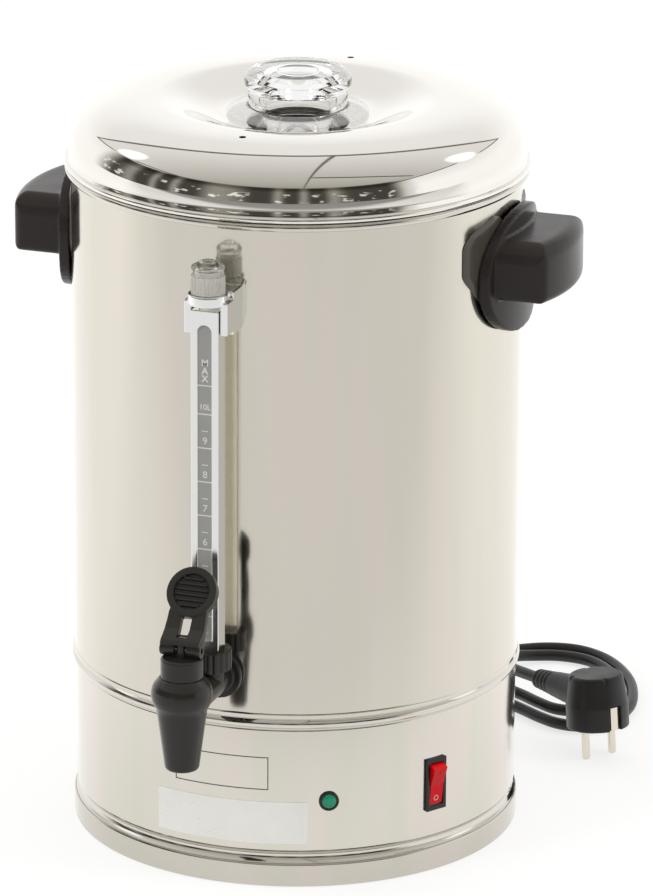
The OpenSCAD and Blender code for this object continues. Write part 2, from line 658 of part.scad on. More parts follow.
// ---------------------------------------------------------------- pump and basket

foot_low = floor_z - well_depth + 1.5;

// The crimped ring near the top carries the basket, the lower one stops the valve
module pump_stem() color("silver") difference() {
    union() {
        translate([0, 0, foot_low + 11]) cylinder(r = 5.5, h = stem_top - foot_low - 11, $fn = 48);
        translate([0, 0, basket_z - 2.6]) cylinder(r = 8.8, h = 2.2, $fn = 48);
        translate([0, 0, foot_low + 18]) cylinder(r = 6.8, h = 1.4, $fn = 48);
    }
    translate([0, 0, foot_low]) cylinder(r = 4.1, h = 400, $fn = 48);
}

module pump_foot() color("silver") difference() {
    rotate_extrude($fn = 72) polygon([
        [20, foot_low], [21.4, foot_low], [21.4, foot_low + 1.2], [14, foot_low + 8],
        [10, foot_low + 11], [10, foot_low + 12.4], [5.5, foot_low + 12.4],
        [5.5, foot_low + 11], [8.6, foot_low + 10.2], [12.8, foot_low + 7]]);
    for (turn = [0:90:270]) rotate([0, 0, turn]) translate([16, -2.5, foot_low - 1])
        cube([8, 5, 3.4]);
}

module pump_valve() color("gray") pipe(10.5, 5.56, foot_low + 12.7, 1.4, 48);

basket_h = 87;

module basket() color("lightgray") {
    inner = basket_r - 0.9;
    top = basket_z + basket_h;
    difference() {
        rotate_extrude($fn = 96) polygon([
            [5.9, basket_z], [basket_r, basket_z], [basket_r, top - 2.4],
            [basket_r + 1.2, top - 1.6], [basket_r + 1.4, top - 0.8], [basket_r + 0.8, top],
            [basket_r - 0.4, top], [inner, top - 0.6], [inner, basket_z + 1],
            [7, basket_z + 1], [7, basket_z + 76], [5.9, basket_z + 76]]);
        for (ring = [1:5]) for (i = [0:6 * ring - 1])
            rotate([0, 0, 360 * i / (6 * ring)]) translate([8 + 11.5 * ring, 0, basket_z - 1])
                cylinder(r = 1.3, h = 3, $fn = 16);
        for (row = [0:1]) for (i = [0:23])
            around(15 * i + 7.5 * row, basket_z + 14 + 16 * row)
                radial(1.3, basket_r - 3, basket_r + 3, 16);
    }
}

cover_z = basket_z + basket_h + 0.7;

module basket_cover() color("lightgray") difference() {
    rotate_extrude($fn = 96) polygon([
        [5.9, cover_z], [7.4, cover_z], [basket_r + 2.1, cover_z],
        [basket_r + 2.1, cover_z - 5], [basket_r + 3, cover_z - 5],
        [basket_r + 3, cover_z + 0.9], [8.2, cover_z + 0.9], [8.2, cover_z + 6],
        [5.9, cover_z + 6]]);
    for (ring = [1:5]) for (i = [0:6 * ring - 1])
        rotate([0, 0, 360 * i / (6 * ring) + 9]) translate([8 + 11.5 * ring, 0, cover_z - 1])
            cylinder(r = 1.1, h = 3, $fn = 16);
}

// ---------------------------------------------------------------- lid and knob

lip_z = rim_z + 0.4;
shoulder_r = lid_lip_r - 2.6;

// The shoulder is a full, rounded curve from the lip up to the crown
function shoulder(inset, count) = [for (i = [0:count]) let (a = 90 * i / count)
    [crown_r + (shoulder_r - inset - crown_r) * pow(cos(a), 2 / 2.9),
     lip_z + 1 + (crown_z - inset - lip_z - 1) * pow(sin(a), 2 / 2.9)]];

// From the crown the lid falls in a gentle curve to its flat middle
function dish(inset, count) = [for (i = [1:count]) let (t = i / count)
    [crown_r - (crown_r - 42) * t,
     lid_flat_z - inset + (crown_z - lid_flat_z) * (1 + cos(180 * t)) / 2]];

module lid() color("gainsboro") difference() {
    rotate_extrude($fn = 120) {
        polygon(concat([[shoulder_r - 1, lip_z]], shoulder(0, 16), dish(0, 8),
            [[21.9, lid_flat_z], [21.9, lid_flat_z - 0.9]],
            [for (i = [7:-1:0]) dish(0.9, 8)[i]], [for (i = [16:-1:0]) shoulder(0.9, 16)[i]],
            [[shoulder_r - 3.4, lip_z + 1]]));
        // rolled lip on the rim, and the skirt that drops inside the tank
        translate([lid_lip_r - 1.7, lip_z + 1.7]) circle(r = 1.7, $fn = 32);
        translate([tank_in - 1.6, lip_z - 12]) square([0.9, 13.4]);
        translate([tank_in - 1.6, lip_z]) square([shoulder_r - tank_in + 2, 1.2]);
    }
    for (side = [-1, 1]) translate([0, side * 91, crown_z - 10]) cylinder(r = 2, h = 20, $fn = 32);
}

knob_low = lid_flat_z - 9;
flange_z = lid_flat_z + 0.4;
knob_top = lid_flat_z + 26;

// A clear hollow knob, so that the brew can be seen rising under it
module knob() color([0.9, 0.94, 0.94, 0.4]) rotate_extrude($fn = 96) polygon([
    [19, knob_low], [21.3, knob_low], [21.3, flange_z], [knob_r + 9, flange_z],
    [knob_r + 10, flange_z + 1], [knob_r + 9.4, flange_z + 2.2], [knob_r + 4, flange_z + 3.6],
    [knob_r - 1.6, flange_z + 4.6], [knob_r - 2, flange_z + 7], [knob_r - 2, flange_z + 13],
    [knob_r - 0.8, flange_z + 15], [knob_r, flange_z + 17], [knob_r, flange_z + 21],
    [knob_r - 1.6, knob_top - 2.6], [knob_r - 5, knob_top - 0.4], [12, knob_top - 0.2],
    [0, knob_top], [0, knob_top - 5], [11.5, knob_top - 5], [11.5, knob_top - 9],
    [19, knob_top - 12]]);

module knob_clip() color("silver") difference() {
    pipe(26, 21.32, lid_flat_z - 4.4, 2.2, 72);
    translate([18, -3, lid_flat_z - 6]) cube([10, 6, 6]);
}

tank_shell();
tank_floor();
floor_screws();
base_shroud();
foot_band();
foot_ring();
bottom_plate();
bottom_screws();
heater_block();
heater_element();
warm_element();
brew_thermostat();
warm_thermostat();
thermal_cutout();
terminal_block();
inner_wires();
lamp_bezel();
lamp_body();
lamp_lens();
switch_housing();
switch_tabs();
handle_seat_left();
handle_seat_right();
handle_left();
handle_right();
handle_screws();
tap_body();
tap_nut();
tap_seals();
tap_bonnet();
gauge_seal();
gauge_nut();
sight_tube();
gauge_scale();
gauge_shield();
gauge_bracket();
bracket_screw();
cord_gland();
gland_nut();
cord_relief();
power_cord();
plug_body();
plug_pins();
plug_contacts();
pump_stem();
pump_foot();
pump_valve();
basket();
basket_cover();
lid();
knob();
knob_clip();
valve_stem();
lever_pin();
seat_cup();
valve_spring();
tap_lever();
rocker();
gauge_cap();
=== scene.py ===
import math
import bmesh
import bpy
from mathutils import Matrix, Vector


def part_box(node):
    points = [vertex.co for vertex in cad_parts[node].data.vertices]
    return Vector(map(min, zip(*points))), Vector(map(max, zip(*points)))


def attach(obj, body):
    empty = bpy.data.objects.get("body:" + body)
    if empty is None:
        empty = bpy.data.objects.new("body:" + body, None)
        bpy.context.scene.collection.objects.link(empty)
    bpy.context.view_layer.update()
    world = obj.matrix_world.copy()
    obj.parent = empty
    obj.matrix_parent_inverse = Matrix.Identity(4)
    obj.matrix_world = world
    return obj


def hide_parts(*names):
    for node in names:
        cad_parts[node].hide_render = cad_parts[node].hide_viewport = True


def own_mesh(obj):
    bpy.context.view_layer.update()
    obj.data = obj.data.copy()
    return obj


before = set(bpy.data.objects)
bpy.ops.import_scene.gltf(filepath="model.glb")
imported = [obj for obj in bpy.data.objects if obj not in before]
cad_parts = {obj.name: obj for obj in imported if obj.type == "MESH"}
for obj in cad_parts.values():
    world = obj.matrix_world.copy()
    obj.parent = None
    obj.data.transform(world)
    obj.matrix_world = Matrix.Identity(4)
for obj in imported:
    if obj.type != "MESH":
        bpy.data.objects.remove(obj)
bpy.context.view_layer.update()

# ---------------------------------------------------------------- the photographer's place
# A long lens a little over three metres away, above the urn and to the right of its tap.
# The picture is 653 pixels wide and 896 high.
picture_high = 896
sensor_high = 36.0
focal_pixels = 6113.3
camera_away = 3.3
camera_height = 1.3122
camera_turn = math.radians(19.3)
camera_yaw = 0.0051347
camera_roll = 0.0051981
camera_pitch = 0.3205669

ahead = Vector((math.sin(camera_yaw) * math.cos(camera_pitch),
                math.cos(camera_yaw) * math.cos(camera_pitch), -math.sin(camera_pitch)))
level = Vector((math.cos(camera_yaw), -math.sin(camera_yaw), 0))
upright = level.cross(ahead)
right = level * math.cos(camera_roll) + upright * math.sin(camera_roll)
upward = upright * math.cos(camera_roll) - level * math.sin(camera_roll)
stance = Matrix((right, upward, -ahead)).transposed().to_4x4()
camera_data = bpy.data.cameras.new("camera")
camera_data.sensor_fit = "VERTICAL"
camera_data.sensor_height = sensor_high
camera_data.lens = focal_pixels * sensor_high / picture_high
camera_data.clip_end = 50


def placed(name, shown):
    """A new object in the scene, which shows a mesh, a curve, a lamp or a camera."""
    thing = bpy.data.objects.new(name, shown)
    bpy.context.scene.collection.objects.link(thing)
    return thing


camera = placed("camera", camera_data)
camera.matrix_world = (Matrix.Rotation(camera_turn, 4, "Z")
                       @ Matrix.Translation((0, -camera_away, camera_height)) @ stance)
bpy.context.scene.camera = camera

# ---------------------------------------------------------------- mains lead
# A round three-core lead with a smooth black jacket. It leaves the back of the base, lies in
# two loose turns behind the urn and runs up into the side of its plug.
mm = 0.001
lead_radius = 3.5 * mm
gland_azimuth = math.radians(200)
gland_height = 30 * mm
relief_start = 128.8 * mm
relief_long = 27 * mm
lead_route = [
    (-60, 163, 27), (-67, 180, 19), (-71, 197, 10), (-67, 214, 5),
    (-55, 227, 4), (-38, 233, 4), (-19, 232, 4), (-1, 226, 4), (16, 217, 4),
    (33, 208, 4), (49, 199, 4), (65, 190, 4), (81, 180, 4), (96, 170, 4),
    (109, 164, 4), (122, 164, 4), (133, 172, 4), (139, 185, 4), (141, 205, 4),
    (137, 226, 4), (129, 247, 4), (117, 266, 4), (102, 281, 4), (84, 289, 4),
    (65, 287, 4), (48, 277, 4), (35, 262, 4), (29, 244, 4), (33, 227, 4),
    (46, 217, 4), (60, 211, 4), (74, 203, 4), (87, 194, 4), (100, 187, 4),
    (113, 188, 4), (123, 197, 4), (128, 211, 4), (127, 229, 4), (120, 247, 4),
    (109, 263, 4), (94, 274, 4), (76, 276, 4), (60, 268, 5), (49, 254, 8),
    (44, 238, 12), (45, 222, 17), (52, 207, 21.5), (64, 193, 25.5), (79, 180, 28),
    (94.93, 167.88, 29.79)]


def outward(azimuth, radius, height):
    """A point at an azimuth, which is measured from the tap towards the right handle."""
    return Vector((radius * math.sin(azimuth), -radius * math.cos(azimuth), height))


def flowing(points, steps):
    """A smooth curve through given points."""
    ends = [points[0] * 2 - points[1]] + points + [points[-1] * 2 - points[-2]]
    path = []
    for i in range(1, len(ends) - 2):
        a, b, c, d = ends[i - 1:i + 3]
        for step in range(steps):
            t = step / steps
            path.append(0.5 * (2 * b + (c - a) * t + (2 * a - 5 * b + 4 * c - d) * t * t
                               + (3 * b - a - 3 * c + d) * t * t * t))
    return path + [points[-1]]


def shader_of(name):
    """A new material, with its tree of nodes and its main shader."""
    material = bpy.data.materials.new(name)
    material.use_nodes = True
    tree = material.node_tree
    return material, tree, tree.nodes["Principled BSDF"]


def tuned(material, settings):
    """Sets plain values on a material's main shader."""
    shader = material.node_tree.nodes["Principled BSDF"]
    for socket, value in settings.items():
        shader.inputs[socket].default_value = value


def cloudy(tree, place, size, detail):
    """Noise whose clouds are about so many millimetres wide."""
    noise = tree.nodes.new("ShaderNodeTexNoise")
    noise.inputs["Scale"].default_value = 1 / (size * mm)
    noise.inputs["Detail"].default_value = detail
    tree.links.new(place, noise.inputs["Vector"])
    return noise.outputs["Fac"]


def graded(tree, value, low, high, first, last):
    """A value that runs from first to last while the given one runs from low to high."""
    ramp = tree.nodes.new("ShaderNodeMapRange")
    for socket, number in (("From Min", low), ("From Max", high), ("To Min", first),
                           ("To Max", last)):
        ramp.inputs[socket].default_value = number
    tree.links.new(value, ramp.inputs["Value"])
    return ramp.outputs["Result"]


def tinted(tree, share, colour, darker, lighter):
    """A colour that wanders from a little darker to a little lighter."""
    tint = tree.nodes.new("ShaderNodeMix")
    tint.data_type = "RGBA"
    tint.inputs["A"].default_value = (*[c * darker for c in colour], 1)
    tint.inputs["B"].default_value = (*[min(1, c * lighter) for c in colour], 1)
    tree.links.new(share, tint.inputs["Factor"])
    return tint.outputs["Result"]


def bumped(tree, height, depth, strength=1):
    """The tilt of a surface that rises and falls by so many millimetres."""
    bump = tree.nodes.new("ShaderNodeBump")
    bump.inputs["Distance"].default_value = depth * mm
    bump.inputs["Strength"].default_value = strength
    tree.links.new(height, bump.inputs["Height"])
    return bump.outputs["Normal"]


def fed(tree, shader, gloss, tint, tilt=None):
    """Feeds a shader its roughness, its colour and, where there is one, its tilt."""
    tree.links.new(gloss, shader.inputs["Roughness"])
    tree.links.new(tint, shader.inputs["Base Color"])
    if tilt:
        tree.links.new(tilt, shader.inputs["Normal"])


def moulded(name, colour, rough, speckle=0.9, depth=0.02, shine=0.5):
    """Moulded plastic or rubber: a fine sparkle from the tool, and a gloss that wanders."""
    material, tree, shader = shader_of(name)
    shader.inputs["Specular IOR Level"].default_value = shine
    place = tree.nodes.new("ShaderNodeTexCoord").outputs["Object"]
    handled = cloudy(tree, place, 22, 4)
    fed(tree, shader, graded(tree, handled, 0.3, 0.7, rough * 0.82, rough * 1.2),
        tinted(tree, handled, colour, 0.88, 1.14),
        bumped(tree, cloudy(tree, place, speckle, 3), depth, 0.5))
    return material


def dressed(piece, material, body, *nodes, slot):
    """Gives a finished piece its material and its body, in place of the plain nodes."""
    piece.data.materials.clear()
    piece.data.materials.append(material)
    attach(piece, body)
    if nodes:
        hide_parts(*nodes)


jacket = moulded("cord_jacket", (0.013, 0.011, 0.011), 0.36, 0.6, 0.015, 0.4)
lead_exit = outward(gland_azimuth, relief_start + relief_long, gland_height)
steps_between = 6
lead_points = flowing([lead_exit] + [Vector(p) * mm for p in lead_route], steps_between)
lead_line = bpy.data.curves.new("mains_lead", "CURVE")
lead_line.dimensions = "3D"
lead_line.bevel_depth = lead_radius
lead_line.bevel_resolution = 6
lead_line.use_fill_caps = True
lead_spline = lead_line.splines.new("POLY")
lead_spline.points.add(len(lead_points) - 1)
for point, place in zip(lead_spline.points, lead_points):
    point.co = (*place, 1)
lead_spline.use_smooth = True
mains_lead = placed("mains_lead", lead_line)
dressed(mains_lead, jacket, "root", "power_cord", slot="cord_jacket")

# ---------------------------------------------------------------- strain relief and gland
# A tapered sleeve of black rubber with soft rings, moulded on the lead. A nylon gland holds
# it in the base's back wall, with a nut on the inside.
relief_wide = 6.2 * mm
relief_narrow = 4.3 * mm
relief_bore = 3.4
relief_rings = 6
ringed_from, ringed_share = 0.12, 0.80


def piece_of(name, points, faces, sharp=32):
    """A mesh object with smooth faces and its corners kept crisp."""
    mesh = bpy.data.meshes.new(name)
    mesh.from_pydata([tuple(p) for p in points], [], faces)
    mesh.validate()
    mesh.shade_smooth()
    mesh.set_sharp_from_angle(angle=math.radians(sharp))
    return placed(name, mesh)


def ring_faces(rings, sides, closed):
    """Walls between neighbouring rings of the same number of points."""
    faces = []
    for i in range(rings if closed else rings - 1):
        a, b = i * sides, (i + 1) % rings * sides
        faces += [(a + k, a + (k + 1) % sides, b + (k + 1) % sides, b + k) for k in range(sides)]
    return faces


def turned(name, outline, sides=96, place=None, sharp=32):
    """A piece turned about the vertical axis from a closed outline of (radius, height)."""
    count = len(outline)
    points = []
    for radius, height in outline:
        points += [(radius * math.cos(2 * math.pi * k / sides) * mm,
                    radius * math.sin(2 * math.pi * k / sides) * mm, height * mm)
                   for k in range(sides)]
    area = sum(outline[i][0] * outline[(i + 1) % count][1]
               - outline[(i + 1) % count][0] * outline[i][1] for i in range(count))
    faces = ring_faces(count, sides, True)
    if area < 0:
        faces = [tuple(reversed(face)) for face in faces]
    piece = piece_of(name, points, faces, sharp)
    form = bmesh.new()
    form.from_mesh(piece.data)
    bmesh.ops.remove_doubles(form, verts=form.verts, dist=0.002 * mm)
    form.to_mesh(piece.data)
    form.free()
    if place:
        piece.data.transform(place)
    return piece


def eased(corners, steps=5):
    """An outline whose corners, each (across, up, radius), are rounded to their radius."""
    outline = []
    count = len(corners)
    for i, (x, y, radius) in enumerate(corners):
        here = Vector((x, y))
        before = Vector(corners[i - 1][:2]) - here
        after = Vector(corners[(i + 1) % count][:2]) - here
        if radius <= 0:
            outline.append((x, y))
            continue
        bend = before.angle(after)
        reach = min(radius / math.tan(bend / 2), before.length * 0.49, after.length * 0.49)
        start = here + before.normalized() * reach
        end = here + after.normalized() * reach
        for step in range(steps + 1):
            t = step / steps
            outline.append(tuple(start * (1 - t) ** 2 + here * 2 * t * (1 - t) + end * t * t))
    return outline


def facing(azimuth, radius, height):
    """Puts a piece turned about its own axis so that the axis points out from the urn."""
    along = outward(azimuth, 1, 0)
    return Matrix.Translation(outward(azimuth, radius, height)) @ along.to_track_quat(
        "Z", "Y").to_matrix().to_4x4()


sleeve = []
for i in range(relief_rings):
    low = relief_long / mm * (ringed_from + ringed_share * i / relief_rings)
    rise = relief_long / mm * ringed_share / relief_rings
    wide = (relief_wide - (relief_wide - relief_narrow) * (i + 0.3) / relief_rings) / mm
    sleeve += [(wide, low, 0.5), (wide - 0.1, low + rise * 0.6, 0.5),
               (wide - 1.0, low + rise * 0.68, 0.2), (wide - 1.05, low + rise * 0.94, 0.2)]
relief_outline = eased([(relief_bore, 0, 0), (relief_wide / mm, 0, 0.3)] + sleeve
                       + [(relief_narrow / mm, relief_long / mm * 0.93, 0.4),
                          (relief_narrow / mm, relief_long / mm, 0.5),
                          (relief_bore, relief_long / mm, 0)], 3)
soft_rubber = moulded("soft_rubber", (0.014, 0.013, 0.013), 0.42, 0.5, 0.03, 0.35)
strain_relief = turned("strain_relief", relief_outline, 48,
                       facing(gland_azimuth, relief_start, gland_height))
dressed(strain_relief, soft_rubber, "root", "cord_relief", slot="black_rubber")


def refinish(material, *names):
    """Gives plain nodes whose shape is right a proper material."""
    for name in names:
        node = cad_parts[name]
        node.data.materials.clear()
        node.data.materials.append(material)


nylon = moulded("nylon", (0.025, 0.025, 0.026), 0.42, 0.7, 0.02)
refinish(nylon, "cord_gland", "gland_nut")

# ---------------------------------------------------------------- plug
# An earthed two-pin plug, moulded on the lead: a round face with flat grips, a sloping back
# and a ringed neck at its side. Its nickel pins stand on the table, and the lead tilts it.


def softened(name, source, voxel, passes=3, ratio=1.0):
    """A moulded copy of a plain node, with every edge and inner corner eased."""
    piece = placed(name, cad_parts[source].data.copy())
    melt = piece.modifiers.new("melt", "REMESH")
    melt.mode = "VOXEL"
    melt.voxel_size = voxel * mm
    ease = piece.modifiers.new("ease", "SMOOTH")
    ease.factor = 0.5
    ease.iterations = passes
    if ratio < 1:
        fewer = piece.modifiers.new("fewer", "DECIMATE")
        fewer.ratio = ratio
    return settled(piece)


def settled(piece, sharp=60):
    """Turns a piece's modifiers into its own mesh."""
    bpy.context.view_layer.update()
    shape = bpy.data.meshes.new_from_object(
        piece.evaluated_get(bpy.context.evaluated_depsgraph_get()))
    piece.modifiers.clear()
    piece.data = shape
    shape.shade_smooth()
    shape.set_sharp_from_angle(angle=math.radians(sharp))
    return piece


plug = softened("plug", "plug_body", 0.6, 2, 0.5)
dressed(plug, soft_rubber, "root", "plug_body", slot="black_rubber")


def bright_metal(name, colour, rough, wave=0.0, wave_size=40, cloud=0.15):
    """Polished or plated metal: a hardly visible ripple, and faint cloudy wear in the gloss."""
    material, tree, shader = shader_of(name)
    shader.inputs["Metallic"].default_value = 1
    place = tree.nodes.new("ShaderNodeTexCoord").outputs["Object"]
    wear = cloudy(tree, place, 35, 6)
    tilt = bumped(tree, cloudy(tree, place, wave_size, 1), wave) if wave else None
    fed(tree, shader, graded(tree, wear, 0.35, 0.75, rough * (1 - cloud), rough * (1 + 2 * cloud)),
        tinted(tree, wear, colour, 0.975, 1.025), tilt)
    return material


nickel = bright_metal("nickel", (0.66, 0.61, 0.52), 0.16)
refinish(nickel, "plug_pins", "plug_contacts")

# ---------------------------------------------------------------- foot band and foot ring
# A rolled steel band round the bottom, brushed, over a black rubber ring that the urn rests on.
# Between band and shroud runs a polished groove.
foot_r = 127.8
foot_h = 13.4
sheet = 0.9
band_shelf_r = 113
band_shelf_z = 3.7
sheet_sides = 256


def brushed_steel(name, colour, rough, reflection_tint=0.0, depth=0.004):
    """Satin sheet steel: fine upright grain that stretches the gloss, and slow cloudy pink and green
    tints, drawn out upright, which are painted reflections.
    """
    material, tree, shader = shader_of(name)
    shader.inputs["Metallic"].default_value = 1
    place = tree.nodes.new("ShaderNodeTexCoord").outputs["Object"]

    def upright_noise(squeeze, size, detail):
        """Noise drawn out along the height of the urn."""
        stretch = tree.nodes.new("ShaderNodeMapping")
        stretch.inputs["Scale"].default_value = (1, 1, squeeze)
        tree.links.new(place, stretch.inputs["Vector"])
        return cloudy(tree, stretch.outputs["Vector"], size, detail)

    grain = upright_noise(0.03, 0.55, 4)
    tint = tree.nodes.new("ShaderNodeValToRGB")
    # The pink and green tints are painted reflections of coloured things round the urn.
    pink = [colour[0] * (1 + reflection_tint), colour[1], colour[2] * (1 + reflection_tint * 0.6)]
    green = [colour[0] * (1 - reflection_tint), colour[1] * (1 - reflection_tint * 0.3), colour[2] * (1 - reflection_tint * 1.4)]
    tint.color_ramp.elements[0].position = 0.38
    tint.color_ramp.elements[0].color = (*pink, 1)
    tint.color_ramp.elements[1].position = 0.62
    tint.color_ramp.elements[1].color = (*green, 1)
    tree.links.new(upright_noise(0.08, 26, 2), tint.inputs["Fac"])
    fed(tree, shader, graded(tree, grain, 0.25, 0.75, rough * 0.85, rough * 1.2),
        tint.outputs["Color"], bumped(tree, grain, depth))
    return material


foot_band = turned("foot_band_piece", eased([
    (foot_r - sheet, 0, 0), (foot_r - 0.1, 0, 0.3), (foot_r, 1, 0.6),
    (foot_r, foot_h - 0.9, 0.7), (foot_r - 0.5, foot_h, 0.3), (foot_r - sheet, foot_h, 0.2),
    (foot_r - sheet, band_shelf_z + sheet, 0), (band_shelf_r, band_shelf_z + sheet, 0),
    (band_shelf_r, band_shelf_z, 0), (foot_r - sheet, band_shelf_z, 0)]), sheet_sides)
# The band's steel is painted darker than the shroud's and the tank's, as painted shade low down on
# the urn.
shaded_foot_satin = brushed_steel("steel_satin_foot", (0.55, 0.525, 0.47), 0.15, 0.03)
dressed(foot_band, shaded_foot_satin, "root", "foot_band", slot="steel_satin")
foot_rubber = moulded("foot_rubber", (0.018, 0.018, 0.018), 0.7, 0.8, 0.05)
refinish(foot_rubber, "foot_ring")

# ---------------------------------------------------------------- bottom plate and electrics
# A plain steel plate closes the base. On it stands the terminal block, with sleeved wires to
# the heater, the thermostats, the switch and the lamp.
mill_steel = brushed_steel("steel_plain", (0.50, 0.49, 0.475), 0.34, 0.01, 0.01)
cast_alloy = bright_metal("aluminium_cast", (0.56, 0.56, 0.55), 0.42, 0.03, 3, 0.25)
refinish(mill_steel, "bottom_plate", "bottom_screws", "floor_screws", "tank_floor",
         "thermal_cutout", "bracket_screw", "handle_screws")
refinish(cast_alloy, "heater_block", "warm_element")
heater_sheath = bright_metal("heater_sheath", (0.30, 0.29, 0.28), 0.40, 0.02, 2, 0.3)
refinish(heater_sheath, "heater_element")
steatite = moulded("steatite", (0.74, 0.70, 0.60), 0.55, 0.4, 0.03)
refinish(steatite, "brew_thermostat", "warm_thermostat", "terminal_block")
woven_sleeve = moulded("woven_sleeve", (0.33, 0.12, 0.06), 0.75, 0.35, 0.10)
refinish(woven_sleeve, "inner_wires")

# ---------------------------------------------------------------- base shroud
# The shroud is one drawn sheet of brushed steel. Its lower edge is turned in to a groove,
# which is buffed bright, and its upper edge folds in to carry the tank.
base_r = 126.2
groove_low = foot_h + 0.1
groove_top = foot_h + 7.6
shroud_top = 93.2
shelf_r = 117
groove_deep = 2.3
groove_steps = 12
buffed_deep = 3.2
satin_low = brushed_steel("steel_satin_base", (0.635, 0.61, 0.55), 0.15, 0.03)
buffed = bright_metal("steel_polished_bead", (0.62, 0.595, 0.545), 0.075, 0.004, 30)
hollow = []
for i in range(groove_steps + 1):
    t = i / groove_steps
    hollow.append((base_r - groove_deep * math.sin(math.pi * t) ** 0.8 + 0.25 * (1 - t) - 0.05,
                   groove_low + 0.2 + (groove_top - groove_low - 0.6) * t))
outer = [(foot_r - sheet - 0.05, 6), (foot_r - sheet - 0.05, groove_low)] + hollow
top = eased([(base_r, groove_top, 0.2), (base_r, shroud_top, 1.2), (shelf_r, shroud_top, 0),
             (shelf_r, shroud_top - sheet, 0), (base_r - sheet, shroud_top - sheet, 0.4),
             (base_r - sheet, groove_top, 0)], 4)
inner = [(r - sheet, z) for r, z in reversed(outer)]
shroud = turned("base_shroud_piece", outer + top + inner, sheet_sides)
dressed(shroud, satin_low, "root", "base_shroud", slot="steel_satin")
shroud.data.materials.append(buffed)
for face in shroud.data.polygons:
    outside = face.center.xy.length > (base_r - buffed_deep) * mm
    if outside and face.center.z < (groove_top + 0.3) * mm:
        face.material_index = 1

# ---------------------------------------------------------------- blank labels
# Two stickers under the tap, both plain: a clear film with a matt face, and above it a thin
# printed frame with nothing in it. Each is a curved sheet that clings to the shroud.
film_gap, film_thick = 0.02, 0.12


def clinging(name, azimuths, heights, radius, columns=48, rows=2):
    """A thin curved sheet on the shroud, between two azimuths in degrees and two heights."""
    points = []
    for lift in (film_gap, film_thick):
        for j in range(rows + 1):
            for i in range(columns + 1):
                turn = azimuths[0] + (azimuths[1] - azimuths[0]) * i / columns
                height = heights[0] + (heights[1] - heights[0]) * j / rows
                points.append(outward(math.radians(turn), (radius + lift) * mm, height * mm))
    step = columns + 1
    layer = step * (rows + 1)
    faces = []
    for j in range(rows):
        for i in range(columns):
            a = j * step + i
            faces.append((layer + a, layer + a + 1, layer + a + step + 1, layer + a + step))
            faces.append((a + step, a + step + 1, a + 1, a))
    edge = list(range(step)) + [j * step + columns for j in range(1, rows + 1)]
    edge += [rows * step + i for i in range(columns - 1, -1, -1)]
    edge += [j * step for j in range(rows - 1, 0, -1)]
    for a, b in zip(edge, edge[1:] + edge[:1]):
        faces.append((a, b, layer + b, layer + a))
    return piece_of(name, points, faces)


label_film = moulded("label_film", (0.86, 0.85, 0.81), 0.3, 0.6, 0.001)
tuned(label_film, {"Metallic": 0.5})
sticker_turns, sticker_heights = (-18.2, 22.5), (25, 50)
sticker = clinging("blank_sticker", sticker_turns, sticker_heights, base_r)
dressed(sticker, label_film, "root", slot="scale_film")
label_ink = moulded("label_ink", (0.10, 0.10, 0.11), 0.5, 0.6, 0.01)
frame_left, frame_right, frame_low, frame_high = -12.8, 12.4, 57, 76.5
line_turn, line_high = 0.25, 0.55
upright_span = (frame_low + line_high, frame_high - line_high)
frame_sides = [((frame_left, frame_right), (frame_low, frame_low + line_high)),
               ((frame_left, frame_right), (frame_high - line_high, frame_high)),
               ((frame_left, frame_left + line_turn), upright_span),
               ((frame_right - line_turn, frame_right), upright_span)]
for count, (turns, heights) in enumerate(frame_sides):
    line = clinging(f"label_frame_{count}", turns, heights, base_r, 24, 1)
    dressed(line, label_ink, "root", slot="black_plastic")

# ---------------------------------------------------------------- pilot lamp
# A green lens, domed and lightly frosted, sits in a black ring. The lamp's body pushes in
# from the front and a clip ring holds it inside the shroud.
lamp_azimuth = math.radians(27.8)
lamp_height = 50.5 * mm
lamp_face = base_r * mm
ring_in, ring_out = 4.25, 5.7
lens_r, lens_rise = 4.2, 1.35
black_nylon = moulded("black_nylon", (0.016, 0.015, 0.014), 0.30, 0.7, 0.02, 0.35)
ring = turned("lamp_ring", eased([(ring_in, 0.05, 0), (ring_out, 0.05, 0.1), (ring_out, 0.9, 0.5),
                                  (ring_out - 0.5, 1.6, 0.3), (ring_in, 1.6, 0.3)], 4), 64,
              facing(lamp_azimuth, lamp_face, lamp_height))
dressed(ring, black_nylon, "root", "lamp_bezel", slot="black_plastic")
green_glass = moulded("green_lens", (0.0, 0.37, 0.20), 0.22, 0.8, 0.03, 0.2)
tuned(green_glass, {"Transmission Weight": 0.1, "Coat Weight": 0.6, "Coat Roughness": 0.05})
dome = [(lens_r * math.cos(math.radians(9 * i)), 1 + lens_rise * math.sin(math.radians(9 * i)))
        for i in range(10)]
lens = turned("lamp_lens_piece", [(0, 0.9), (lens_r, 0.9)] + dome + [(0, 1 + lens_rise)], 64,
              facing(lamp_azimuth, lamp_face, lamp_height))
dressed(lens, green_glass, "root", "lamp_lens", slot="green_lens")
refinish(black_nylon, "lamp_body")

# ---------------------------------------------------------------- rocker switch
# A snap-in switch of black nylon with a red see-through rocker, which stands out at its top.
# The mark on the rocker's lower end is a thin white ring.
switch_frame = softened("switch_frame", "switch_housing", 0.35, 1, 0.5)
dressed(switch_frame, black_nylon, "root", "switch_housing", slot="black_plastic")
red_plastic = moulded("red_rocker", (0.90, 0.004, 0.011), 0.2, 0.8, 0.01, 0.12)
tuned(red_plastic, {"Transmission Weight": 0.05, "Coat Weight": 0.05, "Coat Roughness": 0.04})
refinish(red_plastic, "rocker")
mark_paint = moulded("rocker_mark_white", (0.80, 0.79, 0.77), 0.4, 0.5, 0.01)
switch_turn = math.radians(57.7)
switch_height = 51.2
rocker_pivot = base_r - 1
rocker_lean = math.radians(12)
mark_out, mark_down = 2.7, 8
mark_lean = math.radians(83.3)
mark_in, mark_r = 1.25, 1.65
mark_low, mark_high = 0.62, 1.16
